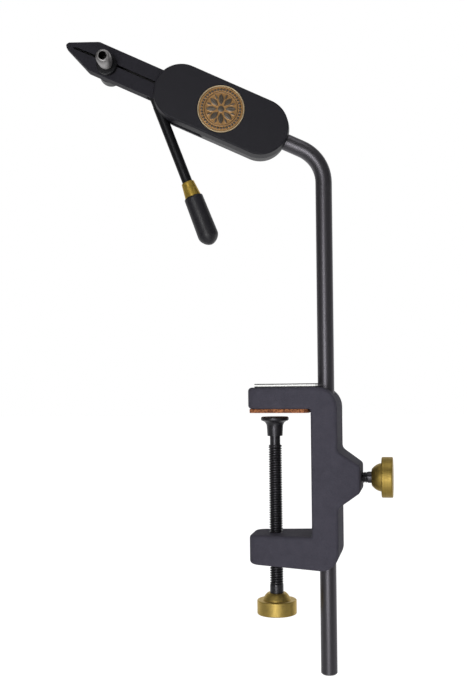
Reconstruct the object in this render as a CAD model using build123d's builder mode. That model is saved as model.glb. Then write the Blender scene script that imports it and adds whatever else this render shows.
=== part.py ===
"""Fly tying vise with a table clamp, a bent stem and a lever-opened jaw head.

Millimetres. The origin is on the clamp screw's axis, on the underside of the cork pad, which is
the plane of the table top. +Z is up along the stem, and the clamp's throat opens towards -X.
"""
from build123d import *
import os
from math import cos, radians, sin, sqrt, tan

# Fits, all radial or per side
FIXED_FIT = 0.02
RUNNING_FIT = 0.05
SIDE_PLAY = 0.1
CURVED_GAP = 0.3

# Clamp frame
CLAMP_DEPTH = 38.0
ARM_TIP_DEPTH = 26.0
ARM_PLAN_R = 7.0
ARM_OVERRUN = 6.0
DEPTH_TAPER_START = 4.0
DEPTH_BEND_R = 25.0
SCREW_TO_STEM = 30.2
SCREW_TO_ARM_TIP = 14.3
SPINE_THICK = 15.0
SPINE_INNER_WALL = 7.2
UPPER_ARM_HEIGHT = 12.4
THROAT_HEIGHT = 70.0
LOWER_ARM_TIP_HEIGHT = 17.0
LOWER_ARM_ROOT_HEIGHT = 19.4
SPINE_TOP_R = 12.0
SPINE_BOTTOM_R = 10.0
THROAT_CORNER_R = 1.2
CASTING_EDGE_R = 2.2
BOSS_REACH = 12.2
BOSS_ROOT_HALF = 16.0
BOSS_END_HALF = 7.6
BOSS_END_DEPTH = 30.0
BOSS_SHOULDER_R = 12.0
FAR_CORNER_R = 1.0
BOSS_CORNER_R = 2.8
BOSS_ROOT_R = 4.0

# Cork pad and top plate
PAD_THICK = 2.2
PAD_INSET = 0.9
PLATE_THICK = 2.1
PLATE_LENGTH = 35.6
PLATE_FROM_TIP = 4.4
PLATE_NOTCH_PLAY = 0.8

# Clamp screw, 5/16 inch with 18 threads an inch, its foot and its knob
SCREW_D = 7.94
THREAD_D = 7.4
COLLAR_CHAMFER = 0.8
SCREW_PITCH = 25.4 / 18
THREAD_DEPTH = 0.75
SCREW_HOLE_PLAY = 0.12
FOOT_GAP = 2.5
FOOT_D = 16.3
FOOT_RIM = 2.3
FOOT_RIM_R = 0.9
FOOT_FLARE = 3.6
FOOT_NECK_TOP_D = 9.5
FOOT_NECK_END_D = 8.9
FOOT_HEIGHT = 11.2
FOOT_ROOF = 3.0
NECK_D = 6.1
NECK_SHOWN = 5.5
FOOT_RING_D = 7.1
FOOT_RING_WIRE = 0.9
FOOT_RING_DEPTH = 6.0
CLAMP_THREAD = 81.3
CLAMP_COLLAR = 4.8
CLAMP_DOME_H = 4.0
CLAMP_DOME_TOP_D = 10.8
CLAMP_DISC_D = 23.1
CLAMP_DISC_H = 8.2
KNOB_EDGE_R = 0.6
KNOB_DOME_END_D = 16.4
KNOB_END_WALL = 2.0

# Stem lock, 1/4 inch with 20 threads an inch
LOCK_DROP = 37.6
LOCK_D = 6.35
LOCK_PITCH = 25.4 / 20
LOCK_THREAD_DEPTH = 0.65
LOCK_HOLE_PLAY = 0.1
LOCK_COLLAR_D = 6.6
LOCK_COLLAR = 2.0
LOCK_SHOWN = 3.7
LOCK_PLUG_LENGTH = 3.4
LOCK_PLUG_D = 5.8
LOCK_DISC_D = 23.3
LOCK_DISC_H = 6.4
LOCK_DOME_H = 5.7
LOCK_DOME_TOP_D = 9.4

# Stem and its liner
STEM_D = 9.525
STEM_BEND_R = 21.5
STEM_CORNER_Z = 146.6
STEM_END_DROP = 151.5
STEM_CHAMFER = 0.8
LINER_WALL = 0.5
LINER_SLIT = 0.8
LINER_END_INSET = 4.6

# Head: its axis falls towards the stem, and it is turned about the stem from the clamp's own plane
HEAD_TILT = 24.4
HEAD_TURN = 10.5
CASE_TO_CORNER = 24.0
CASE_LENGTH = 80.8
CASE_WIDTH = 31.8
CASE_THICK = 20.0
COVER_THICK = 6.5
COVER_DRAFT = 7.0
BODY_DRAFT = 5.5
CASE_EDGE_R = 0.8
MEDALLION_D = 26.7
MEDALLION_THICK = 1.4
MEDALLION_RECESS = 1.2
MEDALLION_PLAY = 0.25
MEDALLION_RIM = 1.1
MEDALLION_RELIEF = 0.4
PETAL_COUNT = 8
PETAL_LENGTH = 6.4
PETAL_WIDTH = 2.8
PETAL_CIRCLE_R = 5.6
ROSE_EYE_D = 3.6
COVER_SCREW_D = 2.5
COVER_SCREW_HEAD_D = 4.4
COVER_SCREW_HEAD_H = 1.6
COVER_SCREW_BITE = 4.2
COVER_SCREW_INSET = 0.4
COVER_SCREW_LOW = 7.0
COVER_SCREW_REAR = 28.6
COVER_SCREW_REAR_V = 10.2

# Swivel joint between the head and the bent end of the stem
SOCKET_DEPTH = 19.3
CHAMBER_LENGTH = 8.2
CHAMBER_HALF = 7.2
WASHER_THICK = 2.0
WASHER_D = 13.2
SWIVEL_COLLAR_D = 13.0
SWIVEL_COLLAR_THICK = 2.5
SWIVEL_SCREW_D = 4.0
SWIVEL_SCREW_HEAD_D = 6.8
SWIVEL_SCREW_HEAD_H = 2.4
SWIVEL_SCREW_BITE = 9.0

# Jaws
JAW_REACH = 57.1
JAW_THICK = 9.0
JAW_HALF = 8.7
JAW_EDGE = 0.5
TIP_HALF = 1.3
TIP_NOSE = 0.9
TIP_THICK = 5.0
TAPER_LENGTH = 17.7
NIP_LENGTH = 3.8
RELIEF_RUN = 1.5
RELIEF_START = 0.35
SLIT = 1.1
SLIT_RUN = 28.0
JAW_OPEN_DEG = 2.0
HINGE_TO_REAR = 33.9
HINGE_PIN_D = 4.0
HINGE_EYE_R = 5.0
TANG_THICK = 3.8
CROSS_PIN_BITE = 3.4
COVER_PIN_FLOOR = 1.0
DOWEL_D = 3.0
DOWEL_AHEAD = 13.0
DOWEL_DROP = 4.6
SPRING_OD = 6.2
SPRING_WIRE = 0.9
SPRING_BORE_PLAY = 0.3
SPRING_TOP_WALL = 2.5
SPRING_POCKET = 4.75
SPRING_SHARES = (0.36, 0.68)

# Accessory post on the lower jaw
POST_FROM_TIP = 26.9
POST_DROP = 2.2
POST_STUD_D = 2.4
POST_COLLAR_D = 11.6
POST_COLLAR_H = 3.0
POST_LENGTH = 14.0
POST_NOSE = 4.0
POST_BASE_D = 5.8
POST_BELLY_D = 8.6
POST_LIP = 0.3
POST_BORE_D = 4.6
POST_BORE_DEPTH = 8.0
POST_NUT_D = 13.4
POST_NUT_H = 8.5
POST_NUT_WALL = 1.5

# Lever with its cam, measured along the lever from its pivot
PIVOT_AHEAD = 2.2
PIVOT_DROP = 3.6
LEVER_ANGLE = 45.0
LEVER_SWING_DEG = 22.0
CAM_PIN_D = 3.0
CAM_PIN_BLIND = 1.0
CAM_R = 4.7
CAM_THICK = 4.4
CAM_HUB_R = 3.2
CAM_SLOT_PLAY = 0.3
CAM_NECK_WIDTH = 5.6
ROD_D = 5.95
ROD_START = 10.2
ROD_SPIGOT_D = 4.0
ROD_SPIGOT_LENGTH = 7.0
ROD_SLOT_PLAY = 0.4
LEVER_SLOT_BACK = 6.0
FERRULE_START = 57.4
FERRULE_LENGTH = 8.9
FERRULE_TOP_D = 7.4
FERRULE_END_D = 9.5
FERRULE_SHOULDER_R = 0.6
GRIP_LENGTH = 29.7
GRIP_TOP_D = 11.0
GRIP_END_D = 12.0
GRIP_LIP_R = 0.8
GRIP_END_WALL = 5.0

# Heights and places of the clamp that follow from the sizes above
arm_tip_x = -SCREW_TO_ARM_TIP
spine_in_x = SCREW_TO_STEM - SPINE_INNER_WALL
spine_out_x = spine_in_x + SPINE_THICK
boss_end_x = spine_out_x + BOSS_REACH
arm_far_x = arm_tip_x - ARM_OVERRUN
boss_far_x = boss_end_x + ARM_OVERRUN
arm_under_z = PAD_THICK
clamp_top_z = arm_under_z + UPPER_ARM_HEIGHT
lower_arm_z = -THROAT_HEIGHT
lower_tip_z = lower_arm_z - LOWER_ARM_TIP_HEIGHT
clamp_bottom_z = lower_arm_z - LOWER_ARM_ROOT_HEIGHT
lower_arm_slope = (lower_tip_z - clamp_bottom_z) / (spine_out_x - arm_tip_x)
boss_depth_slope = (CLAMP_DEPTH - BOSS_END_DEPTH) / BOSS_REACH
lock_z = -LOCK_DROP
foot_top_z = -FOOT_GAP
foot_end_z = foot_top_z - FOOT_HEIGHT
neck_end_z = foot_end_z - NECK_SHOWN
clamp_thread_end_z = neck_end_z - CLAMP_THREAD
clamp_knob_z = clamp_thread_end_z - CLAMP_COLLAR

# Radii of the stem's liner, and places along the lock screw's axis
stem_r = STEM_D / 2
liner_in_r = stem_r + RUNNING_FIT
liner_out_r = liner_in_r + LINER_WALL
bore_r = liner_out_r + RUNNING_FIT
lock_plug_x = SCREW_TO_STEM + liner_out_r + RUNNING_FIT
lock_tip_x = lock_plug_x + LOCK_PLUG_LENGTH
lock_thread_end_x = boss_end_x + LOCK_SHOWN
lock_knob_x = lock_thread_end_x + LOCK_COLLAR

# Head frame: x runs back along the head's axis from the stem's corner, y is up, z is towards the front
tilt = radians(HEAD_TILT)
turn = radians(HEAD_TURN)
backwards = Vector(cos(turn), sin(turn), 0)
head_axis = backwards * cos(tilt) + Vector(0, 0, -sin(tilt))
head_front = Vector(sin(turn), -cos(turn), 0)
HEAD = Plane(origin=(SCREW_TO_STEM, 0, STEM_CORNER_Z), x_dir=head_axis, z_dir=head_front)
STEM_PLANE = Plane(origin=HEAD.origin, x_dir=backwards, z_dir=head_front)

# Places in the head frame
case_rear = -CASE_TO_CORNER
case_front = case_rear - CASE_LENGTH
case_mid = (case_rear + case_front) / 2
case_half = CASE_WIDTH / 2
front_w = CASE_THICK / 2
parting_w = front_w - COVER_THICK
back_w = -CASE_THICK / 2
cover_pin_w = front_w - MEDALLION_RECESS - COVER_PIN_FLOOR
body_thick = CASE_THICK - COVER_THICK
parting_grow = 2 * COVER_THICK * tan(radians(COVER_DRAFT))
tip = case_front - JAW_REACH
hinge = case_rear - HINGE_TO_REAR
jaw_w = JAW_THICK / 2
jaw_shoulder = hinge - HINGE_EYE_R - 1.5
slit_half = SLIT / 2
jaw_slope = tan(radians(JAW_OPEN_DEG))
channel_half = jaw_w + SIDE_PLAY
chamber_rear = case_rear - SOCKET_DEPTH
chamber_front = chamber_rear - CHAMBER_LENGTH
stem_end = chamber_rear - WASHER_THICK
post_u = tip + POST_FROM_TIP
spring_top = case_half - SPRING_TOP_WALL
spring_bottom = JAW_HALF - SPRING_POCKET
spring_bore_r = SPRING_OD / 2 + SPRING_BORE_PLAY
spring_places = [hinge + (case_front - hinge) * share for share in SPRING_SHARES]
pivot_u = case_front - PIVOT_AHEAD
pivot_v = -PIVOT_DROP
half_swing = radians(LEVER_SWING_DEG / 2)
cam_lift = (hinge - pivot_u) * jaw_slope
cam_throw = cam_lift / (2 * sin(half_swing) + cos(half_swing) * jaw_slope)
cam_slot = CAM_THICK / 2 + CAM_SLOT_PLAY
rod_slot = ROD_D / 2 + ROD_SLOT_PLAY
cover_screw_v = (JAW_HALF + case_half) / 2 - COVER_SCREW_INSET
cover_screw_places = [
    ((spring_places[0] + spring_places[1]) / 2, cover_screw_v),
    (case_mid + COVER_SCREW_LOW, -cover_screw_v),
    (case_mid + COVER_SCREW_REAR, COVER_SCREW_REAR_V),
    (case_mid + COVER_SCREW_REAR, -COVER_SCREW_REAR_V),
]


def across_head(u, v=0.0):
    """A plane square to the head's axis at u, with its normal pointing back along the axis."""
    return Plane(HEAD.from_local_coords((u, v, 0)), x_dir=HEAD.y_dir, z_dir=HEAD.x_dir)


def along_head_top(u, v):
    """A plane that faces up out of the head, at height v above its axis."""
    return Plane(HEAD.from_local_coords((u, v, 0)), x_dir=HEAD.x_dir, z_dir=HEAD.y_dir)


def ridge_points(start, length, outer_r, depth, pitch):
    """Crest and root points of a thread's outline, from start for the given length."""
    points = []
    for ridge in range(int(length / pitch)):
        crest = start + ridge * pitch
        points += [(crest + pitch / 4, outer_r), (crest + 3 * pitch / 4, outer_r - depth)]
    return points


def open_top_line(u):
    """Height of the upper jaw's top edge at u when the jaw is fully open."""
    return JAW_HALF + (hinge - u) * jaw_slope


def lever_top_line(u, play):
    """Height of the rod's upper side at u when the lever is fully squeezed, plus some play."""
    squeezed = radians(LEVER_ANGLE - LEVER_SWING_DEG)
    return pivot_v - (u - pivot_u) * tan(squeezed) + (ROD_D / 2 + play) / cos(squeezed)


def lever_top_reach(v, play):
    """Place along the head where the squeezed rod's upper side, plus play, comes down to height v."""
    squeezed = radians(LEVER_ANGLE - LEVER_SWING_DEG)
    return pivot_u + (pivot_v - v + (ROD_D / 2 + play) / cos(squeezed)) / tan(squeezed)


def jaw_outline(rear, side):
    """Outline of a jaw from the tip to its rear end, above the slit for side 1 and below it for -1."""
    return [
        (tip, 0),
        (tip, side * (TIP_HALF - TIP_NOSE)),
        (tip + TIP_NOSE, side * (TIP_HALF + TIP_NOSE * (JAW_HALF - TIP_HALF) / TAPER_LENGTH)),
        (tip + TAPER_LENGTH, side * JAW_HALF),
        (rear, side * JAW_HALF),
        (rear, side * slit_half),
        (tip + SLIT_RUN, side * slit_half),
        (tip + NIP_LENGTH + RELIEF_RUN, side * RELIEF_START),
        (tip + NIP_LENGTH, 0),
    ]


def on_casting_rim(edge):
    """True for an edge between the casting's outline and its sides, and not for a smooth seam."""
    along = edge.tangent_at(0.5)
    x = edge.center().X
    if abs(along.Y) > 0.999:
        return abs(x - arm_tip_x) < 0.01
    if abs(along.Z) > 0.999:
        return min(abs(x - place) for place in (spine_in_x, spine_out_x, boss_end_x)) < 0.01
    return True


# Casting seen from above: narrow at the arms' tips, full at the spine, narrow again at the boss
plan_corners = [
    (arm_tip_x, ARM_TIP_DEPTH / 2),
    (spine_in_x + DEPTH_TAPER_START, CLAMP_DEPTH / 2),
    (spine_out_x, CLAMP_DEPTH / 2),
    (boss_far_x, (BOSS_END_DEPTH - ARM_OVERRUN * boss_depth_slope) / 2),
]
plan_radii = [ARM_PLAN_R, DEPTH_BEND_R, BOSS_SHOULDER_R, FAR_CORNER_R]
with BuildSketch() as casting_plan:
    with BuildLine():
        FilletPolyline(
            *plan_corners,
            *[(x, -y) for x, y in reversed(plan_corners)],
            radius=plan_radii + plan_radii[::-1],
            close=True,
        )
    make_face()

# Clamp frame: a C-shaped casting, with bores for the stem, the clamp screw and the lock screw
with BuildPart() as clamp_frame:
    with BuildSketch(Plane.XZ):
        with BuildLine():
            FilletPolyline(
                (arm_far_x, clamp_top_z),
                (spine_out_x, clamp_top_z),
                (spine_out_x, lock_z + BOSS_ROOT_HALF),
                (boss_end_x, lock_z + BOSS_END_HALF),
                (boss_end_x, lock_z - BOSS_END_HALF),
                (spine_out_x, lock_z - BOSS_ROOT_HALF),
                (spine_out_x, clamp_bottom_z),
                (arm_far_x, lower_tip_z + ARM_OVERRUN * lower_arm_slope),
                (arm_far_x, lower_arm_z),
                (spine_in_x, lower_arm_z),
                (spine_in_x, arm_under_z),
                (arm_far_x, arm_under_z),
                radius=[
                    FAR_CORNER_R, SPINE_TOP_R, BOSS_ROOT_R, BOSS_CORNER_R, BOSS_CORNER_R, BOSS_ROOT_R,
                    SPINE_BOTTOM_R, FAR_CORNER_R, FAR_CORNER_R, THROAT_CORNER_R, THROAT_CORNER_R,
                    FAR_CORNER_R,
                ],
                close=True,
            )
        make_face()
    extrude(amount=CLAMP_DEPTH, both=True)
    with BuildSketch(Plane.XY.offset(clamp_bottom_z)):
        add(casting_plan.sketch_local)
    extrude(amount=clamp_top_z - clamp_bottom_z, mode=Mode.INTERSECT)
    fillet(edges().filter_by(on_casting_rim), CASTING_EDGE_R)
    with BuildSketch(Plane.XY.offset(clamp_bottom_z)):
        Circle(THREAD_D / 2 + SCREW_HOLE_PLAY)
    extrude(amount=LOWER_ARM_ROOT_HEIGHT, mode=Mode.SUBTRACT)
    with BuildSketch(Plane.XY.offset(clamp_bottom_z)):
        with Locations((SCREW_TO_STEM, 0)):
            Circle(bore_r)
    extrude(amount=clamp_top_z - clamp_bottom_z, mode=Mode.SUBTRACT)
    with BuildSketch(Plane.YZ.offset(SCREW_TO_STEM)):
        with Locations((0, lock_z)):
            Circle(LOCK_D / 2 + LOCK_HOLE_PLAY)
    extrude(amount=boss_end_x - SCREW_TO_STEM, mode=Mode.SUBTRACT)

# Cork pad under the upper arm
with BuildPart() as pad:
    with BuildSketch():
        add(casting_plan.sketch_local)
        offset(amount=-PAD_INSET, mode=Mode.REPLACE)
        pad_rear_x = spine_in_x - THROAT_CORNER_R
        with Locations(((arm_tip_x + pad_rear_x) / 2, 0)):
            Rectangle(pad_rear_x - arm_tip_x, CLAMP_DEPTH, mode=Mode.INTERSECT)
    extrude(amount=PAD_THICK)

# Thin plate on the upper arm, notched round the stem
with BuildPart() as top_plate:
    with BuildSketch(Plane.XY.offset(clamp_top_z)):
        add(casting_plan.sketch_local)
        offset(amount=-CASTING_EDGE_R, mode=Mode.REPLACE)
        with Locations((arm_tip_x + PLATE_FROM_TIP + PLATE_LENGTH / 2, 0)):
            Rectangle(PLATE_LENGTH, CLAMP_DEPTH, mode=Mode.INTERSECT)
        with Locations((SCREW_TO_STEM, 0)):
            Circle(stem_r + PLATE_NOTCH_PLAY, mode=Mode.SUBTRACT)
    extrude(amount=PLATE_THICK)

# Slit sleeve in the stem's bore
with BuildPart() as stem_liner:
    with BuildSketch(Plane.XY.offset(clamp_bottom_z + LINER_END_INSET)):
        with Locations((SCREW_TO_STEM, 0)):
            Circle(liner_out_r)
            Circle(liner_in_r, mode=Mode.SUBTRACT)
        with Locations((SCREW_TO_STEM - liner_in_r, 0)):
            Rectangle(4 * LINER_WALL, LINER_SLIT, mode=Mode.SUBTRACT)
    extrude(amount=clamp_top_z - clamp_bottom_z - 2 * LINER_END_INSET)

# Turned pieces on the clamp screw's axis: x runs down the screw, y is the radius
CLAMP_TURNING = Plane(origin=(0, 0, 0), x_dir=(0, 0, -1), z_dir=(0, -1, 0))
clamp_turning_axis = Axis((0, 0, 0), (0, 0, -1))
foot_bore_end = FOOT_GAP + FOOT_ROOF
foot_ring_at = FOOT_GAP + FOOT_RING_DEPTH + FOOT_RING_WIRE / 2
neck_r = NECK_D / 2
ring_groove_half = FOOT_RING_WIRE / 2 + SIDE_PLAY
ring_in_r = (FOOT_RING_D - 2 * FOOT_RING_WIRE) / 2
ring_out_r = FOOT_RING_D / 2

# Flared foot that presses on the table from below
with BuildPart() as clamp_foot:
    with BuildSketch(CLAMP_TURNING):
        with BuildLine():
            Polyline(
                (FOOT_GAP, 0),
                (FOOT_GAP, FOOT_D / 2),
                (FOOT_GAP + FOOT_RIM, FOOT_D / 2),
            )
            flare_end = (FOOT_GAP + FOOT_RIM + FOOT_FLARE, FOOT_NECK_TOP_D / 2)
            EllipticalCenterArc(
                (flare_end[0], FOOT_D / 2),
                FOOT_FLARE,
                (FOOT_D - FOOT_NECK_TOP_D) / 2,
                start_angle=180,
                arc_size=90,
            )
            Polyline(
                flare_end,
                (-foot_end_z, FOOT_NECK_END_D / 2),
                (-foot_end_z, neck_r + RUNNING_FIT),
                (foot_ring_at + ring_groove_half, neck_r + RUNNING_FIT),
                (foot_ring_at + ring_groove_half, ring_out_r + SIDE_PLAY),
                (foot_ring_at - ring_groove_half, ring_out_r + SIDE_PLAY),
                (foot_ring_at - ring_groove_half, neck_r + RUNNING_FIT),
                (foot_bore_end, neck_r + RUNNING_FIT),
                (foot_bore_end, 0),
                (FOOT_GAP, 0),
            )
        make_face()
    revolve(axis=clamp_turning_axis)
    foot_rims = edges().filter_by(GeomType.CIRCLE).filter_by(lambda e: abs(e.radius - FOOT_D / 2) < 1e-6)
    fillet(foot_rims, FOOT_RIM_R)

# Snap ring between the foot and the screw's neck
with BuildPart() as foot_ring:
    with BuildSketch(CLAMP_TURNING):
        with Locations((foot_ring_at, (ring_in_r + ring_out_r) / 2)):
            Rectangle(FOOT_RING_WIRE, ring_out_r - ring_in_r)
    revolve(axis=clamp_turning_axis)

# Clamp screw: neck in the foot, ridged thread, plain collar and an end inside the knob
clamp_knob_length = CLAMP_DOME_H + CLAMP_DISC_H
with BuildPart() as clamp_screw:
    with BuildSketch(CLAMP_TURNING):
        with BuildLine():
            Polyline(
                (foot_bore_end, 0),
                (foot_bore_end, neck_r),
                (foot_ring_at - ring_groove_half, neck_r),
                (foot_ring_at - ring_groove_half, ring_in_r - FIXED_FIT),
                (foot_ring_at + ring_groove_half, ring_in_r - FIXED_FIT),
                (foot_ring_at + ring_groove_half, neck_r),
                (-neck_end_z, neck_r),
                *ridge_points(-neck_end_z, CLAMP_THREAD, THREAD_D / 2, THREAD_DEPTH, SCREW_PITCH),
                (-clamp_thread_end_z, THREAD_D / 2),
                (-clamp_thread_end_z + COLLAR_CHAMFER, SCREW_D / 2),
                (-clamp_knob_z + clamp_knob_length - KNOB_END_WALL, SCREW_D / 2),
                (-clamp_knob_z + clamp_knob_length - KNOB_END_WALL, 0),
                (foot_bore_end, 0),
            )
        make_face()
    revolve(axis=clamp_turning_axis)

# Brass knob under the clamp screw
with BuildPart() as clamp_knob:
    with BuildSketch(CLAMP_TURNING):
        with BuildLine():
            knob_top = -clamp_knob_z
            disc_top = knob_top + CLAMP_DOME_H
            disc_end = disc_top + CLAMP_DISC_H
            knob_bore = SCREW_D / 2 + FIXED_FIT
            Line((knob_top, knob_bore), (knob_top, CLAMP_DOME_TOP_D / 2))
            RadiusArc(
                (knob_top, CLAMP_DOME_TOP_D / 2), (disc_top, KNOB_DOME_END_D / 2), KNOB_DOME_END_D / 2
            )
            Polyline(
                (disc_top, KNOB_DOME_END_D / 2),
                (disc_top, CLAMP_DISC_D / 2),
                (disc_end, CLAMP_DISC_D / 2),
                (disc_end, 0),
                (disc_end - KNOB_END_WALL, 0),
                (disc_end - KNOB_END_WALL, knob_bore),
                (knob_top, knob_bore),
            )
        make_face()
    revolve(axis=clamp_turning_axis)
    rims = edges().filter_by(GeomType.CIRCLE).filter_by(lambda e: abs(e.radius - CLAMP_DISC_D / 2) < 1e-6)
    fillet(rims, KNOB_EDGE_R)

# Turned pieces on the lock screw's axis: x runs out along the screw, y is the radius
LOCK_TURNING = Plane(origin=(0, 0, lock_z), x_dir=(1, 0, 0), z_dir=(0, -1, 0))
lock_turning_axis = Axis((0, 0, lock_z), (1, 0, 0))

# Soft plug with a hollow end that bears on the liner
with BuildPart() as lock_plug:
    with BuildSketch(Plane.YZ.offset(SCREW_TO_STEM)):
        with Locations((0, lock_z)):
            Circle(LOCK_PLUG_D / 2)
    extrude(amount=lock_tip_x - SCREW_TO_STEM)
    with BuildSketch(Plane.XY.offset(lock_z - LOCK_D)):
        with Locations((SCREW_TO_STEM, 0)):
            Circle(liner_out_r + RUNNING_FIT)
    extrude(amount=2 * LOCK_D, mode=Mode.SUBTRACT)

# Lock screw: ridged thread, plain collar and an end inside the knob
lock_knob_length = LOCK_DOME_H + LOCK_DISC_H
lock_end_x = lock_knob_x + lock_knob_length - KNOB_END_WALL
with BuildPart() as lock_screw:
    with BuildSketch(LOCK_TURNING):
        with BuildLine():
            Polyline(
                (lock_tip_x, 0),
                (lock_tip_x, LOCK_D / 2 - LOCK_THREAD_DEPTH),
                *ridge_points(
                    lock_tip_x, lock_thread_end_x - lock_tip_x, LOCK_D / 2, LOCK_THREAD_DEPTH, LOCK_PITCH
                ),
                (lock_thread_end_x, LOCK_D / 2 - LOCK_THREAD_DEPTH),
                (lock_thread_end_x, LOCK_COLLAR_D / 2),
                (lock_end_x, LOCK_COLLAR_D / 2),
                (lock_end_x, 0),
                (lock_tip_x, 0),
            )
        make_face()
    revolve(axis=lock_turning_axis)

# Brass knob on the lock screw
with BuildPart() as lock_knob:
    with BuildSketch(LOCK_TURNING):
        with BuildLine():
            lock_disc_x = lock_knob_x + LOCK_DOME_H
            lock_outer_x = lock_disc_x + LOCK_DISC_H
            lock_bore = LOCK_COLLAR_D / 2 + FIXED_FIT
            Line((lock_knob_x, lock_bore), (lock_knob_x, LOCK_DOME_TOP_D / 2))
            RadiusArc(
                (lock_knob_x, LOCK_DOME_TOP_D / 2),
                (lock_disc_x, KNOB_DOME_END_D / 2),
                KNOB_DOME_END_D / 2,
            )
            Polyline(
                (lock_disc_x, KNOB_DOME_END_D / 2),
                (lock_disc_x, LOCK_DISC_D / 2),
                (lock_outer_x, LOCK_DISC_D / 2),
                (lock_outer_x, 0),
                (lock_end_x, 0),
                (lock_end_x, lock_bore),
                (lock_knob_x, lock_bore),
            )
        make_face()
    revolve(axis=lock_turning_axis)
    rims = edges().filter_by(GeomType.CIRCLE).filter_by(lambda e: abs(e.radius - LOCK_DISC_D / 2) < 1e-6)
    fillet(rims, KNOB_EDGE_R)

# Bent stem, with a tapped hole in its upper end
with BuildPart() as stem:
    with BuildLine(STEM_PLANE) as stem_path:
        FilletPolyline(
            (0, -STEM_CORNER_Z - STEM_END_DROP),
            (0, 0),
            (stem_end * cos(tilt), -stem_end * sin(tilt)),
            radius=STEM_BEND_R,
        )
    with BuildSketch(Plane.XY.offset(-STEM_END_DROP)):
        with Locations((SCREW_TO_STEM, 0)):
            Circle(stem_r)
    sweep(path=stem_path.wires()[0])
    chamfer(faces().sort_by(Axis.Z)[0].edges(), STEM_CHAMFER)
    with BuildSketch(across_head(stem_end)):
        Circle(SWIVEL_SCREW_D / 2 + FIXED_FIT)
    extrude(amount=SWIVEL_SCREW_BITE + 1, mode=Mode.SUBTRACT)

# Friction washer, end collar and screw that hold the head on the stem
with BuildPart() as swivel_washer:
    with BuildSketch(across_head(stem_end)):
        Circle(WASHER_D / 2)
        Circle(stem_r + RUNNING_FIT, mode=Mode.SUBTRACT)
    extrude(amount=WASHER_THICK)

with BuildPart() as swivel_collar:
    with BuildSketch(across_head(stem_end)):
        Circle(SWIVEL_COLLAR_D / 2)
        Circle(SWIVEL_SCREW_D / 2 + FIXED_FIT, mode=Mode.SUBTRACT)
    extrude(amount=-SWIVEL_COLLAR_THICK)

with BuildPart() as swivel_screw:
    with BuildSketch(across_head(stem_end - SWIVEL_COLLAR_THICK)):
        Circle(SWIVEL_SCREW_HEAD_D / 2)
    extrude(amount=-SWIVEL_SCREW_HEAD_H)
    with BuildSketch(across_head(stem_end - SWIVEL_COLLAR_THICK)):
        Circle(SWIVEL_SCREW_D / 2)
    extrude(amount=SWIVEL_COLLAR_THICK + SWIVEL_SCREW_BITE)

# Space for the jaws inside the casing, and for the lever that swings up into it
channel_outline = [
    (case_front - SIDE_PLAY - 1, -JAW_HALF - SIDE_PLAY),
    (case_front - SIDE_PLAY - 1, open_top_line(case_front) + CURVED_GAP + SIDE_PLAY),
    (hinge, open_top_line(hinge) + CURVED_GAP + SIDE_PLAY),
    (hinge + HINGE_EYE_R + CURVED_GAP, open_top_line(hinge) + CURVED_GAP + SIDE_PLAY),
    (hinge + HINGE_EYE_R + CURVED_GAP, -JAW_HALF - SIDE_PLAY),
]
below_case = -case_half - CASE_THICK
lever_slot_outline = [
    (case_front - ROD_D, below_case),
    (case_front - ROD_D, lever_top_line(case_front - ROD_D, CURVED_GAP)),
    (lever_top_reach(below_case, CURVED_GAP), below_case),
]

# Rear half of the casing
with BuildPart() as head_body:
    with BuildSketch(HEAD.offset(parting_w)):
        with Locations((case_mid, 0)):
            SlotOverall(CASE_LENGTH + parting_grow, CASE_WIDTH + parting_grow)
    extrude(amount=-body_thick, taper=BODY_DRAFT)
    fillet(faces().sort_by(Axis(HEAD.origin, HEAD.z_dir))[0].edges(), CASE_EDGE_R)
    with BuildSketch(HEAD.offset(-channel_half)):
        with BuildLine():
            Polyline(*channel_outline, close=True)
        make_face()
    extrude(amount=channel_half + parting_w, mode=Mode.SUBTRACT)
    with BuildSketch(HEAD.offset(-LEVER_SLOT_BACK)):
        with BuildLine():
            Polyline(*lever_slot_outline, close=True)
        make_face()
    extrude(amount=LEVER_SLOT_BACK + parting_w, mode=Mode.SUBTRACT)
    with BuildSketch(HEAD.offset(-CHAMBER_HALF)):
        with Locations(((chamber_front + chamber_rear) / 2, 0)):
            Rectangle(CHAMBER_LENGTH, 2 * CHAMBER_HALF)
    extrude(amount=CHAMBER_HALF + parting_w, mode=Mode.SUBTRACT)
    with BuildSketch(across_head(chamber_rear)):
        Circle(stem_r + RUNNING_FIT)
    extrude(amount=SOCKET_DEPTH + 1, mode=Mode.SUBTRACT)
    for place in spring_places:
        with BuildSketch(along_head_top(place, JAW_HALF)):
            Circle(spring_bore_r)
        extrude(amount=spring_top - JAW_HALF, mode=Mode.SUBTRACT)
    with BuildSketch(HEAD.offset(-channel_half - CROSS_PIN_BITE)):
        with Locations((hinge, 0)):
            Circle(HINGE_PIN_D / 2 + FIXED_FIT)
        with Locations((hinge - DOWEL_AHEAD, -DOWEL_DROP)):
            Circle(DOWEL_D / 2 + FIXED_FIT)
    extrude(amount=CROSS_PIN_BITE, mode=Mode.SUBTRACT)
    with BuildSketch(HEAD.offset(back_w)):
        with Locations(*cover_screw_places):
            Circle(COVER_SCREW_D / 2 + SIDE_PLAY)
    extrude(amount=body_thick, mode=Mode.SUBTRACT)
    with BuildSketch(HEAD.offset(back_w)):
        with Locations(*cover_screw_places):
            Circle(COVER_SCREW_HEAD_D / 2 + SIDE_PLAY)
    extrude(amount=COVER_SCREW_HEAD_H, mode=Mode.SUBTRACT)

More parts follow.
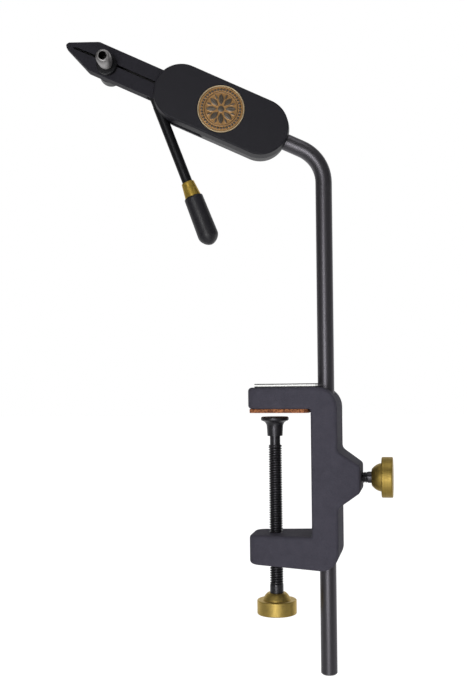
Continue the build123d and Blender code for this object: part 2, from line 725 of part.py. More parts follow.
# Front half of the casing, with the recess for the medallion
with BuildPart() as front_cover:
    with BuildSketch(HEAD.offset(parting_w)):
        with Locations((case_mid, 0)):
            SlotOverall(CASE_LENGTH + parting_grow, CASE_WIDTH + parting_grow)
    extrude(amount=COVER_THICK, taper=COVER_DRAFT)
    fillet(faces().sort_by(Axis(HEAD.origin, HEAD.z_dir))[-1].edges(), CASE_EDGE_R)
    with BuildSketch(HEAD.offset(front_w - MEDALLION_RECESS)):
        with Locations((case_mid, 0)):
            Circle(MEDALLION_D / 2 + MEDALLION_PLAY)
    extrude(amount=MEDALLION_RECESS, mode=Mode.SUBTRACT)
    with BuildSketch(HEAD.offset(parting_w)):
        with BuildLine():
            Polyline(*channel_outline, close=True)
        make_face()
    extrude(amount=channel_half - parting_w, mode=Mode.SUBTRACT)
    with BuildSketch(HEAD.offset(parting_w)):
        with Locations(((chamber_front + chamber_rear) / 2, 0)):
            Rectangle(CHAMBER_LENGTH, 2 * CHAMBER_HALF)
    extrude(amount=CHAMBER_HALF - parting_w, mode=Mode.SUBTRACT)
    with BuildSketch(across_head(chamber_rear)):
        Circle(stem_r + RUNNING_FIT)
    extrude(amount=SOCKET_DEPTH + 1, mode=Mode.SUBTRACT)
    with BuildSketch(HEAD.offset(channel_half)):
        with Locations((hinge, 0)):
            Circle(HINGE_PIN_D / 2 + FIXED_FIT)
        with Locations((hinge - DOWEL_AHEAD, -DOWEL_DROP)):
            Circle(DOWEL_D / 2 + FIXED_FIT)
    extrude(amount=cover_pin_w - channel_half, mode=Mode.SUBTRACT)
    with BuildSketch(HEAD.offset(parting_w)):
        with Locations(*cover_screw_places):
            Circle(COVER_SCREW_D / 2 + FIXED_FIT)
    extrude(amount=COVER_SCREW_BITE, mode=Mode.SUBTRACT)

# Screws from the back into the front cover
with BuildPart() as cover_screws:
    with BuildSketch(HEAD.offset(back_w)):
        with Locations(*cover_screw_places):
            Circle(COVER_SCREW_HEAD_D / 2)
    extrude(amount=COVER_SCREW_HEAD_H)
    with BuildSketch(HEAD.offset(back_w)):
        with Locations(*cover_screw_places):
            Circle(COVER_SCREW_D / 2)
    extrude(amount=body_thick + COVER_SCREW_BITE - SIDE_PLAY)

# Medallion: a rimmed disc with a plain petal rosette
with BuildPart() as medallion:
    medallion_w = front_w - MEDALLION_RECESS
    with BuildSketch(HEAD.offset(medallion_w)):
        with Locations((case_mid, 0)):
            Circle(MEDALLION_D / 2)
    extrude(amount=MEDALLION_THICK - MEDALLION_RELIEF)
    with BuildSketch(HEAD.offset(medallion_w + MEDALLION_THICK - MEDALLION_RELIEF)):
        with Locations((case_mid, 0)):
            Circle(MEDALLION_D / 2)
            Circle(MEDALLION_D / 2 - MEDALLION_RIM, mode=Mode.SUBTRACT)
            Circle(ROSE_EYE_D / 2)
            with PolarLocations(PETAL_CIRCLE_R, PETAL_COUNT):
                Ellipse(PETAL_LENGTH / 2, PETAL_WIDTH / 2)
    extrude(amount=MEDALLION_RELIEF)

# Flats that thin the jaws towards the tip, seen from above
tip_flat = [
    (-1, TIP_THICK / 2 - (jaw_w - TIP_THICK / 2) / TAPER_LENGTH),
    (TAPER_LENGTH, jaw_w),
    (TAPER_LENGTH, jaw_w + 1),
    (-1, jaw_w + 1),
]

# Fixed lower jaw: cam slot, rod channel, clevis for the hinge and holes for its pins and the post
with BuildPart() as lower_jaw:
    with BuildSketch(HEAD.offset(-jaw_w)):
        with BuildLine():
            Polyline(*jaw_outline(hinge, -1), close=True)
        make_face()
        with Locations((hinge, 0)):
            Circle(HINGE_EYE_R)
    extrude(amount=JAW_THICK)
    bottom_edges = edges().filter_by(Axis(HEAD.origin, HEAD.x_dir))
    chamfer(bottom_edges.group_by(Axis(HEAD.origin, HEAD.y_dir))[0], JAW_EDGE)
    with BuildSketch(along_head_top(tip, 0)):
        with BuildLine():
            Polyline(*tip_flat, close=True)
        make_face()
        mirror(about=Plane.XZ)
    extrude(amount=-2 * JAW_HALF, mode=Mode.SUBTRACT)
    with BuildSketch(HEAD):
        with Locations((hinge + HINGE_EYE_R, 0)):
            Rectangle(2 * (hinge + HINGE_EYE_R - jaw_shoulder), 3 * JAW_HALF)
    extrude(amount=TANG_THICK / 2 + SIDE_PLAY, both=True, mode=Mode.SUBTRACT)
    with BuildSketch(HEAD):
        slot_front = pivot_u - CAM_HUB_R - 2 * CURVED_GAP
        slot_rear = pivot_u + ROD_START
        slot_floor = pivot_v - CAM_HUB_R - 2 * CURVED_GAP
        neck_room = (CAM_NECK_WIDTH / 2 + CURVED_GAP) / sin(radians(LEVER_ANGLE))
        slot_mouth = pivot_u + (pivot_v - slot_floor) / tan(radians(LEVER_ANGLE)) - neck_room
        with Locations(((slot_front + slot_rear) / 2, slot_floor + JAW_HALF)):
            Rectangle(slot_rear - slot_front, 2 * JAW_HALF)
        with Locations(((slot_mouth + slot_rear) / 2, -JAW_HALF)):
            Rectangle(slot_rear - slot_mouth, JAW_HALF)
    extrude(amount=cam_slot, both=True, mode=Mode.SUBTRACT)
    with BuildSketch(HEAD):
        channel_u = pivot_u + ROD_START - 2 * CURVED_GAP - ROD_D / 2
        with BuildLine():
            Polyline(
                (channel_u, lever_top_line(channel_u, CURVED_GAP)),
                (lever_top_reach(-2 * JAW_HALF, CURVED_GAP), -2 * JAW_HALF),
                (channel_u, -2 * JAW_HALF),
                close=True,
            )
        make_face()
    extrude(amount=rod_slot, both=True, mode=Mode.SUBTRACT)
    with BuildSketch(HEAD.offset(-jaw_w)):
        with Locations((hinge, 0)):
            Circle(HINGE_PIN_D / 2 + FIXED_FIT)
        with Locations((hinge - DOWEL_AHEAD, -DOWEL_DROP)):
            Circle(DOWEL_D / 2 + FIXED_FIT)
        with Locations((post_u, -POST_DROP)):
            Circle(POST_STUD_D / 2 + FIXED_FIT)
    extrude(amount=JAW_THICK, mode=Mode.SUBTRACT)
    with BuildSketch(HEAD.offset(-jaw_w)):
        with Locations((pivot_u, pivot_v)):
            Circle(CAM_PIN_D / 2 + FIXED_FIT)
    extrude(amount=jaw_w + cam_slot + CAM_PIN_BLIND, mode=Mode.SUBTRACT)

# Hinged upper jaw: a bar with a thin tang and an eye at its rear, and pockets for the springs
with BuildPart() as upper_jaw:
    with BuildSketch(HEAD.offset(-jaw_w)):
        with BuildLine():
            Polyline(*jaw_outline(jaw_shoulder, 1), close=True)
        make_face()
    extrude(amount=JAW_THICK)
    top_edges = edges().filter_by(Axis(HEAD.origin, HEAD.x_dir))
    chamfer(top_edges.group_by(Axis(HEAD.origin, HEAD.y_dir))[-1], JAW_EDGE)
    with BuildSketch(HEAD):
        with BuildLine():
            Polyline(
                (jaw_shoulder - 1, slit_half),
                (jaw_shoulder - 1, JAW_HALF - JAW_EDGE),
                (hinge, JAW_HALF - JAW_EDGE),
                (hinge, slit_half),
                close=True,
            )
        make_face()
        with Locations((hinge, 0)):
            Circle(HINGE_EYE_R)
    extrude(amount=TANG_THICK / 2, both=True)
    with BuildSketch(along_head_top(tip, 0)):
        with BuildLine():
            Polyline(*tip_flat, close=True)
        make_face()
        mirror(about=Plane.XZ)
    extrude(amount=2 * JAW_HALF, mode=Mode.SUBTRACT)
    for place in spring_places:
        with BuildSketch(along_head_top(place, spring_bottom)):
            Circle(spring_bore_r)
        extrude(amount=SPRING_POCKET, mode=Mode.SUBTRACT)
    with BuildSketch(HEAD):
        with Locations((hinge, 0)):
            Circle(HINGE_PIN_D / 2 + RUNNING_FIT)
    extrude(amount=TANG_THICK, both=True, mode=Mode.SUBTRACT)

# Springs that close the upper jaw
with BuildPart() as jaw_springs:
    for place in spring_places:
        with BuildSketch(along_head_top(place, spring_bottom)):
            Circle(SPRING_OD / 2)
            Circle(SPRING_OD / 2 - SPRING_WIRE, mode=Mode.SUBTRACT)
        extrude(amount=spring_top - spring_bottom)

# Cross pins: the jaw hinge, the dowel of the lower jaw, and the blind pin of the cam
cross_pin_length = cover_pin_w - SIDE_PLAY + channel_half + CROSS_PIN_BITE
with BuildPart() as hinge_pin:
    with BuildSketch(HEAD.offset(-channel_half - CROSS_PIN_BITE)):
        with Locations((hinge, 0)):
            Circle(HINGE_PIN_D / 2)
    extrude(amount=cross_pin_length)

with BuildPart() as jaw_dowel:
    with BuildSketch(HEAD.offset(-channel_half - CROSS_PIN_BITE)):
        with Locations((hinge - DOWEL_AHEAD, -DOWEL_DROP)):
            Circle(DOWEL_D / 2)
    extrude(amount=cross_pin_length)

with BuildPart() as cam_pin:
    with BuildSketch(HEAD.offset(-jaw_w)):
        with Locations((pivot_u, pivot_v)):
            Circle(CAM_PIN_D / 2)
    extrude(amount=jaw_w + cam_slot + CAM_PIN_BLIND)

# Accessory post: black collar, bellied hollow post with its stud, and round nut behind the jaws
collar_w = jaw_w + SIDE_PLAY
post_w = collar_w + POST_COLLAR_H
nut_w = -jaw_w - SIDE_PLAY
POST_TURNING = Plane(
    HEAD.from_local_coords((post_u, -POST_DROP, 0)), x_dir=HEAD.z_dir, z_dir=HEAD.x_dir
)
post_axis = Axis(POST_TURNING.origin, POST_TURNING.x_dir)

with BuildPart() as post_collar:
    with BuildSketch(HEAD.offset(collar_w)):
        with Locations((post_u, -POST_DROP)):
            Circle(POST_COLLAR_D / 2)
            Circle(POST_STUD_D / 2 + FIXED_FIT, mode=Mode.SUBTRACT)
    extrude(amount=POST_COLLAR_H)
    fillet(faces().sort_by(post_axis)[-1].edges().sort_by(SortBy.LENGTH)[-1], JAW_EDGE)

with BuildPart() as accessory_post:
    with BuildSketch(POST_TURNING):
        with BuildLine():
            post_end = post_w + POST_LENGTH
            belly_w = post_end - POST_NOSE
            lip_r = POST_BORE_D / 2 + POST_LIP
            Line((post_w, POST_STUD_D / 2), (post_w, POST_BASE_D / 2))
            EllipticalCenterArc(
                (belly_w, POST_BASE_D / 2),
                belly_w - post_w,
                (POST_BELLY_D - POST_BASE_D) / 2,
                start_angle=90,
                arc_size=90,
            )
            EllipticalCenterArc(
                (belly_w, lip_r), POST_NOSE, POST_BELLY_D / 2 - lip_r, start_angle=0, arc_size=90
            )
            Polyline(
                (post_end, lip_r),
                (post_end, POST_BORE_D / 2),
                (post_end - POST_BORE_DEPTH, POST_BORE_D / 2),
                (post_end - POST_BORE_DEPTH, 0),
                (nut_w - POST_NUT_H + POST_NUT_WALL, 0),
                (nut_w - POST_NUT_H + POST_NUT_WALL, POST_STUD_D / 2),
                (post_w, POST_STUD_D / 2),
            )
        make_face()
    revolve(axis=post_axis)

with BuildPart() as post_nut:
    with BuildSketch(HEAD.offset(nut_w)):
        with Locations((post_u, -POST_DROP)):
            Circle(POST_NUT_D / 2)
    extrude(amount=-POST_NUT_H)
    fillet(edges(), JAW_EDGE)
    with BuildSketch(HEAD.offset(nut_w)):
        with Locations((post_u, -POST_DROP)):
            Circle(POST_STUD_D / 2 + FIXED_FIT)
    extrude(amount=-POST_NUT_H + POST_NUT_WALL, mode=Mode.SUBTRACT)

# Lever frame: x runs down the lever from its pivot, z is towards the front
lever_angle = radians(LEVER_ANGLE)
LEVER = Plane(
    HEAD.from_local_coords((pivot_u, pivot_v, 0)),
    x_dir=HEAD.x_dir * cos(lever_angle) - HEAD.y_dir * sin(lever_angle),
    z_dir=HEAD.z_dir,
)
lever_axis = Axis(LEVER.origin, LEVER.x_dir)
cam_angle = lever_angle - half_swing
cam_centre = (cam_throw * cos(cam_angle), cam_throw * sin(cam_angle))

with BuildPart() as lever_cam:
    with BuildSketch(LEVER):
        Circle(CAM_HUB_R)
        with Locations(cam_centre):
            Circle(CAM_R)
        with Locations((ROD_START / 2, 0)):
            Rectangle(ROD_START, CAM_NECK_WIDTH)
        Circle(CAM_PIN_D / 2 + RUNNING_FIT, mode=Mode.SUBTRACT)
    extrude(amount=CAM_THICK / 2, both=True)
    with BuildSketch(Plane(LEVER.from_local_coords((ROD_START, 0, 0)), z_dir=LEVER.x_dir)):
        Circle(ROD_SPIGOT_D / 2)
    extrude(amount=ROD_SPIGOT_LENGTH)

rod_end = FERRULE_START + FERRULE_LENGTH + GRIP_LENGTH - GRIP_END_WALL
with BuildPart() as lever_rod:
    with BuildSketch(Plane(LEVER.from_local_coords((ROD_START, 0, 0)), z_dir=LEVER.x_dir)):
        Circle(ROD_D / 2)
    extrude(amount=rod_end - ROD_START)
    with BuildSketch(Plane(LEVER.from_local_coords((ROD_START, 0, 0)), z_dir=LEVER.x_dir)):
        Circle(ROD_SPIGOT_D / 2 + FIXED_FIT)
    extrude(amount=ROD_SPIGOT_LENGTH + SIDE_PLAY, mode=Mode.SUBTRACT)

ferrule_end = FERRULE_START + FERRULE_LENGTH
rod_seat_r = ROD_D / 2 + FIXED_FIT
with BuildPart() as lever_ferrule:
    with BuildSketch(LEVER):
        with BuildLine():
            Polyline(
                (FERRULE_START, rod_seat_r),
                (FERRULE_START, FERRULE_TOP_D / 2),
                (ferrule_end, FERRULE_END_D / 2),
                (ferrule_end, rod_seat_r),
                close=True,
            )
        make_face()
    revolve(axis=lever_axis)
    fillet(faces().sort_by(lever_axis)[0].edges().sort_by(SortBy.LENGTH)[-1], FERRULE_SHOULDER_R)

with BuildPart() as lever_grip:
    with BuildSketch(LEVER):
        with BuildLine():
            grip_end = ferrule_end + GRIP_LENGTH
            dome_start = grip_end - GRIP_END_D / 2
            Polyline(
                (ferrule_end, rod_seat_r),
                (ferrule_end, GRIP_TOP_D / 2),
                (dome_start, GRIP_END_D / 2),
            )
            ThreePointArc(
                (dome_start, GRIP_END_D / 2),
                (dome_start + GRIP_END_D / 2 / sqrt(2), GRIP_END_D / 2 / sqrt(2)),
                (grip_end, 0),
            )
            Polyline(
                (grip_end, 0),
                (rod_end, 0),
                (rod_end, rod_seat_r),
                (ferrule_end, rod_seat_r),
            )
        make_face()
    revolve(axis=lever_axis)
    fillet(faces().sort_by(lever_axis)[0].edges().sort_by(SortBy.LENGTH)[-1], GRIP_LIP_R)

pieces = {
    "clamp_frame": clamp_frame,
    "pad": pad,
    "top_plate": top_plate,
    "stem_liner": stem_liner,
    "clamp_foot": clamp_foot,
    "foot_ring": foot_ring,
    "clamp_screw": clamp_screw,
    "clamp_knob": clamp_knob,
    "lock_plug": lock_plug,
    "lock_screw": lock_screw,
    "lock_knob": lock_knob,
    "stem": stem,
    "swivel_washer": swivel_washer,
    "swivel_collar": swivel_collar,
    "swivel_screw": swivel_screw,
    "head_body": head_body,
    "front_cover": front_cover,
    "cover_screws": cover_screws,
    "medallion": medallion,
    "lower_jaw": lower_jaw,
    "upper_jaw": upper_jaw,
    "jaw_springs": jaw_springs,
    "hinge_pin": hinge_pin,
    "jaw_dowel": jaw_dowel,
    "cam_pin": cam_pin,
    "post_collar": post_collar,
    "accessory_post": accessory_post,
    "post_nut": post_nut,
    "lever_cam": lever_cam,
    "lever_rod": lever_rod,
    "lever_ferrule": lever_ferrule,
    "lever_grip": lever_grip,
}

os.makedirs("parts", exist_ok=True)
for name, piece in pieces.items():
    piece.part.label = name
    export_step(piece.part, f"parts/{name}.step")
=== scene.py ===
from math import cos, pi, radians, sin

import bmesh
import bpy
import numpy as np
from mathutils import Matrix, Vector


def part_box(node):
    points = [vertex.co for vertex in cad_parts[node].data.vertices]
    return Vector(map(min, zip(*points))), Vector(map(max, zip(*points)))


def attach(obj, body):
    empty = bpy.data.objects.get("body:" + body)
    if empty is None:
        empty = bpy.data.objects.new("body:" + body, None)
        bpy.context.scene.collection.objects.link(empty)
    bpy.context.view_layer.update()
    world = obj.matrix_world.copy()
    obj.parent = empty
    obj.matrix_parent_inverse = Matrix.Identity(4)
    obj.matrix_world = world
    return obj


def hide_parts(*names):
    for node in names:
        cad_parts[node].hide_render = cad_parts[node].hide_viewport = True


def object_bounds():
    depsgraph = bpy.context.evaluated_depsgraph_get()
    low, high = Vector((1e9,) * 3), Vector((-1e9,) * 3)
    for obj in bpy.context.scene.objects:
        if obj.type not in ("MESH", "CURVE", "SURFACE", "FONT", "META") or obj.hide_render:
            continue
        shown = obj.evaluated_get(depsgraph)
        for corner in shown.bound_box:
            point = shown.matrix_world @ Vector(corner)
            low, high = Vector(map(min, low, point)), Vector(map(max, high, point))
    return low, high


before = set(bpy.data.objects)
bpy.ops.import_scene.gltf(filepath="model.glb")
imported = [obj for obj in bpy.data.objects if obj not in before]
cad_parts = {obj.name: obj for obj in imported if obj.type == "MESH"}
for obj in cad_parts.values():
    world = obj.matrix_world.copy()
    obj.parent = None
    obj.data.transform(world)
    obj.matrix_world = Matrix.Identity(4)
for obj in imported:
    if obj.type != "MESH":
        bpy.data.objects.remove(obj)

bl_info = {
    "name": "Fly Tying Vise",
    "version": (1, 0, 0),
    "blender": (4, 5, 0),
    "location": "3D View > Sidebar > Vise",
    "description": "Dresses a table clamp vise with a bent stem and a lever-opened jaw head",
    "category": "Add Mesh",
}

CAD_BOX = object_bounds()
MM = 0.001
INCH = 25.4


# Properties

def srgb(red, green, blue):
    """Linear colour of an 8-bit screen colour."""
    c = np.array([red, green, blue]) / 255.0
    return tuple(np.where(c <= 0.04045, c / 12.92, ((c + 0.055) / 1.055) ** 2.4))


def colour(name, words, rgb):
    """A colour property whose default is given as an 8-bit screen colour."""
    return bpy.props.FloatVectorProperty(
        name=name, description=words, subtype="COLOR", size=3, min=0.0, max=1.0, default=srgb(*rgb)
    )


def length(name, words, millimetres):
    """A length property whose default is given in millimetres."""
    return bpy.props.FloatProperty(
        name=name, description=words, subtype="DISTANCE", unit="LENGTH", precision=5,
        default=millimetres * MM,
    )


def amount(name, words, default, **more):
    """A plain number property."""
    return bpy.props.FloatProperty(name=name, description=words, default=default, **more)


def count(name, words, default, low, high):
    """A whole number property."""
    return bpy.props.IntProperty(name=name, description=words, default=default, min=low, max=high)


class ViseFinishes(bpy.types.PropertyGroup):
    """Colours of the vise's metals, paint and soft pieces."""

    casting: colour("Casting", "Powder coat of the clamp frame", (84, 82, 93))
    casing: colour("Casing", "Satin black of the head's two halves", (31, 30, 37))
    jaw: colour("Jaws", "Blackened steel of the two jaws", (47, 46, 52))
    stem: colour("Stem", "Dark satin plating of the bent stem", (96, 94, 99))
    oxide: colour("Black oxide", "Lever rod, cam, collar, nut and cover screws", (27, 27, 30))
    thread: colour("Thread", "Oiled steel of the two screws and the foot", (67, 66, 70))
    brass: colour("Brass", "Turned lock knob", (176, 150, 78))
    # The clamp knob's brass is lighter than the lock knob's as painted light; the two knobs share one finish
    clamp_brass_painted_light: colour("Clamp knob", "Brass of the clamp knob, made lighter as painted light", (212, 183, 102))
    ferrule: colour("Ferrule", "Polished brass of the lever's ferrule", (214, 180, 84))
    bronze: colour("Bronze", "Field of the medallion", (175, 133, 83))
    patina: colour("Patina", "Raised, dulled parts of the medallion", (98, 90, 80))
    rim: colour("Rim", "Raised edge of the medallion", (208, 185, 146))
    cork_light: colour("Cork", "Light granules of the pad", (206, 132, 84))
    cork_dark: colour("Cork, dark", "Dark granules and gaps of the pad", (122, 68, 40))
    # The plate's pale core also glows as painted light
    plate: colour("Plate", "Pale core of the plate on the upper arm", (238, 238, 236))
    vinyl: colour("Vinyl", "Dipped grip of the lever", (27, 26, 32))
    silver: colour("Silver", "Accessory post and plain steel pieces", (168, 166, 166))
    nylon: colour("Nylon", "Washer, plug and liner", (212, 208, 196))


class ViseSizes(bpy.types.PropertyGroup):
    """Sizes of the pieces that are shaped here."""

    screw_pitch: length("Clamp screw pitch", "Rise of the clamp screw's thread in one turn", INCH / 18)
    lock_pitch: length("Lock screw pitch", "Rise of the lock screw's thread in one turn", INCH / 20)
    thread_depth: length("Thread depth", "Depth of the clamp screw's thread, crest to root", 0.85)
    relief: length("Relief", "Height of the medallion's pattern", 0.45)
    petals: count("Petals", "Petals of the medallion's rosette", 8, 3, 16)
    beads: count("Beads", "Beads in the ring round the rosette", 40, 8, 96)
    cork_rag: length("Cork edge", "How far the cork's cut edge wanders", 0.35)
    cork_taper: amount("Cork taper", "How much narrower the pad is at its tip", 0.295, min=0.0, max=0.9)


class ViseStage(bpy.types.PropertyGroup):
    """Floor, light and camera."""

    floor_drop: length("Floor", "Depth of the floor below the stem's lower end", 60.0)
    key: amount("Key light", "Power of the key light", 3.6, unit="POWER")
    fill: amount("Fill light", "Power of the light above", 1.5, unit="POWER")
    sky: amount("Surround", "Strength of the white wall behind", 0.9)
    dusk: amount("Dusk", "Strength of the surround in front", 0.1)
    front: amount("Front", "Strength of the floor's beam in front", 2.2)


# Places, in millimetres unless they are multiplied by MM

# Head frame: back runs along the head's axis towards the stem, up out of it, front to the medallion
TURN = radians(10.5)
TILT = radians(24.4)
LEVEL = np.array([cos(TURN), sin(TURN), 0.0])
HEAD_BACK = LEVEL * cos(TILT) - np.array([0.0, 0.0, sin(TILT)])
HEAD_UP = LEVEL * sin(TILT) + np.array([0.0, 0.0, cos(TILT)])
HEAD_FRONT = np.array([sin(TURN), -cos(TURN), 0.0])
STEM_CORNER = np.array([30.2, 0.0, 146.6]) * MM

# Centres on the head, back and up from the stem's corner
MEDALLION_AT = (-64.4, 0.0)
LEVER_AT = (-107.0, -3.6)
POST_AT = (-135.0, -2.2)
POST_BORE = 2.32

# The slit's painted shade: its edge off the head's axis, and its end near the tips
SLIT_HALF = (0.6, 0.7)
SLIT_END = (-157.5, -155.5)

# The lever hangs at 45 degrees to the head's axis
SLANT = radians(45)
LEVER_AXIS = HEAD_BACK * cos(SLANT) - HEAD_UP * sin(SLANT)
LEVER_SIDE = HEAD_UP * cos(SLANT) + HEAD_BACK * sin(SLANT)

# Clamp screw, down from the table top: ends of the neck, thread and collar, and their radii
DOWN = np.array([0.0, 0.0, -1.0])
NECK_END, NECK_R = 18.9, 3.05
THREAD_START, THREAD_END, THREAD_R = 19.2, 100.4, 3.9
COLLAR_START, COLLAR_R = 101.3, 3.97

# Lock screw, outwards from the clamp screw's axis; its thread is shallower by a share
OUT = np.array([1.0, 0.0, 0.0])
LOCK_AT = np.array([0.0, 0.0, -37.6]) * MM
LOCK_THREAD_END, LOCK_THREAD_R = 53.8, 3.175
LOCK_COLLAR_START, LOCK_COLLAR_R = 53.9, 3.3
LOCK_DEPTH_SHARE = 0.7

# Plate on the upper arm: where its dark top and foot begin and are full, in from each face
PLATE_TOP, PLATE_FOOT = (0.65, 0.5), (0.7, 0.55)

# Medallion: radius, and heights of its back and field in front of the head's middle
MEDALLION_R, MEDALLION_BACK, MEDALLION_FIELD = 13.35, 8.8, 9.75
MEDALLION_RINGS, MEDALLION_STEPS = 110, 320

# Grip, along the lever from its pivot
GRIP_START, GRIP_LENGTH, GRIP_MOUTH_R = 66.3, 29.7, 3.0
GRIP_TOP_R, GRIP_SWELL, GRIP_SWELL_LENGTH = 5.5, 0.5, 23.7
GRIP_LIP_LENGTH, GRIP_LIP_INSET = 1.1, 0.9
GRIP_DOME_START, GRIP_DOME_LENGTH = 90.0, 6.0
GRIP_RINGS, GRIP_STEPS = 90, 72

# Cork: steps round its outline, power of the superellipse, and waves round it that the ragged edge keeps
CORK_STEPS, CORK_POWER, CORK_WAVES = 480, 11.0, 70.0

# Camera in the photograph's frame, with lengths on the picture in pixels
CAMERA_AT = Vector((86.1, -542.9, 16.7)) * MM
CAMERA_ROLL = -0.0118
PICTURE_HEIGHT = 700.0
FOCAL_LENGTH = 940.0
SHIFT_RIGHT, SHIFT_UP = -16.5, 34.0


def head_point(u, v, w):
    """Points at u back, v up and w forward of the stem's corner, numbers or whole arrays of millimetres."""
    u, v, w = (np.asarray(part, float)[..., None] for part in (u, v, w))
    return STEM_CORNER + (u * HEAD_BACK + v * HEAD_UP + w * HEAD_FRONT) * MM


# Surfaces

def grid_quads(rows, columns):
    """Quads of a grid that closes on itself across its columns."""
    r, c = np.meshgrid(np.arange(rows - 1), np.arange(columns), indexing="ij")
    after = (c + 1) % columns
    corners = [r * columns + c, r * columns + after, (r + 1) * columns + after, (r + 1) * columns + c]
    return np.stack(corners, -1).reshape(-1, 4)


def ring_mesh(name, points, first_centre, last_centre):
    """A closed mesh from rings of points, with a fan to a centre point over the first and the last ring."""
    rows, columns = points.shape[:2]
    verts = points.reshape(-1, 3)
    faces = grid_quads(rows, columns).tolist()
    turn = np.arange(columns)
    for centre, row in ((first_centre, 0), (last_centre, rows - 1)):
        ring = row * columns + turn
        tip = np.full(columns, len(verts))
        verts = np.vstack([verts, np.asarray(centre)[None, :]])
        faces += np.stack([ring, np.roll(ring, -1), tip], -1).tolist()
    mesh = bpy.data.meshes.new(name)
    mesh.from_pydata(verts.tolist(), [], faces)
    shell = bmesh.new()
    shell.from_mesh(mesh)
    bmesh.ops.recalc_face_normals(shell, faces=shell.faces)
    shell.to_mesh(mesh)
    shell.free()
    mesh.shade_smooth()
    return mesh


def around(axis, side, t):
    """Unit vectors cos t side + sin t (axis x side), round an axis."""
    return np.cos(t)[:, None] * side + np.sin(t)[:, None] * np.cross(axis, side)


def full_turn(segments):
    """Angles of one turn, without its end."""
    return np.linspace(0.0, 2 * pi, segments, endpoint=False)


def turned(profile, origin, axis, side, segments):
    """Rings of a turned shape: each profile point (distance s along the axis, radius r), in millimetres,
    is carried round the axis: at angle t it is at origin + s axis + r (cos t side + sin t across)."""
    s, r = np.asarray(profile, float).T * MM
    radial = around(axis, side, full_turn(segments))
    return origin + s[:, None, None] * axis + r[:, None, None] * radial[None, :, :]


def threaded(spans, pitch, depth, origin, axis, side):
    """Rings of a screw: at distance s and angle t the radius is the span's own less depth times a V groove,
    which is 1.6 (1 - |2 f - 1|) - 0.5 kept between 0 at the flat crest and 1 at the root, where f is the
    fraction of s / pitch - t / (2 pi). Spans are (start, end, radius, whether threaded), in millimetres.
    The groove fades out over a part of the pitch at a thread's ends, and a plain span has a ring just inside
    each end, so that its side shades straight."""
    segments, per_turn, fade_out, edge = 64, 12, 0.8, 0.06
    stations, radii, cut = [], [], []
    for start, end, radius, thread in spans:
        if thread:
            s = np.linspace(start, end, max(2, int((end - start) / pitch * per_turn)))
            fade = np.clip(np.minimum(s - start, end - s) / (fade_out * pitch), 0.0, 1.0)
        else:
            s = np.array([start, start + edge, end - edge, end])
            fade = np.zeros(len(s))
        stations.append(s)
        radii.append(np.full(len(s), radius))
        cut.append(fade)
    s, r, fade = (np.concatenate(part) for part in (stations, radii, cut))
    t = full_turn(segments)
    f = (s[:, None] / pitch - t[None, :] / (2 * pi)) % 1.0
    groove = np.clip(1.6 * (1.0 - np.abs(2 * f - 1.0)) - 0.5, 0.0, 1.0)
    radius = r[:, None] - depth * fade[:, None] * groove
    radial = around(axis, side, t)
    return origin + (s[:, None, None] * axis + radius[:, :, None] * radial[None, :, :]) * MM


def struck_relief(r, t, radius, petals, beads):
    """Height of the medallion's face at distance r and angle t: 1 on a raised rim, and within it 0.85 times
    the highest of a ring of round beads, a plain ring, a round eye and a rosette. Its petals and the leaves
    between them swell as sin over their length and fall off as a parabola across it, and each petal has a
    vein."""

    def sector(shift):
        return (t * petals / (2 * pi) + shift) % 1.0 - 0.5

    def blade(phase, along, wide):
        return np.clip(1 - (phase / np.maximum(wide, 1e-3)) ** 2, 0, 1) * (along > 0) * (along < 1)

    rim = np.clip((r - (radius - 0.85)) / 0.2, 0, 1)
    bead_at, bead_r = 0.82 * radius, 0.75
    bead_across = ((t * beads / (2 * pi)) % 1.0 - 0.5) * 2 * pi * bead_at / beads
    bead = np.sqrt(np.clip(1 - (bead_across**2 + (r - bead_at) ** 2) / bead_r**2, 0, 1))
    ring = 0.7 * np.clip(1 - np.abs(r - 0.71 * radius) / 0.28, 0, 1)
    petal_root, petal_end = 2.3, 0.64 * radius
    along = np.clip((r - petal_root) / (petal_end - petal_root), 0, 1)
    phase = sector(0.0)
    petal = blade(phase, along, 0.44 * np.sin(pi * along**0.8))
    petal *= 1 - 0.55 * np.exp(-((phase * r * 2 * pi / petals) / 0.16) ** 2)
    along = np.clip((r - 0.42 * radius) / (0.24 * radius), 0, 1)
    leaf = 0.6 * blade(sector(0.5), along, 0.16 * np.sin(pi * along))
    eye = np.sqrt(np.clip(1 - (r / 1.9) ** 2, 0, 1))
    return np.maximum(rim, 0.85 * np.maximum.reduce([bead, ring, petal, leaf, eye]))


def dress(name, mesh, body, finish, node):
    """Puts a mesh into the scene in place of a CAD node, riding on that node's body."""
    piece = bpy.data.objects.new(name, mesh)
    bpy.context.scene.collection.objects.link(piece)
    mesh.materials.append(finish.material)
    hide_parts(node)
    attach(piece, body)


def give(finish, *nodes):
    """Assigns a finish to every material slot of CAD nodes' objects."""
    for node in nodes:
        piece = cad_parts[node]
        if not piece.material_slots:
            piece.data.materials.append(finish.material)
        for place in piece.material_slots:
            place.material = finish.material


# Materials

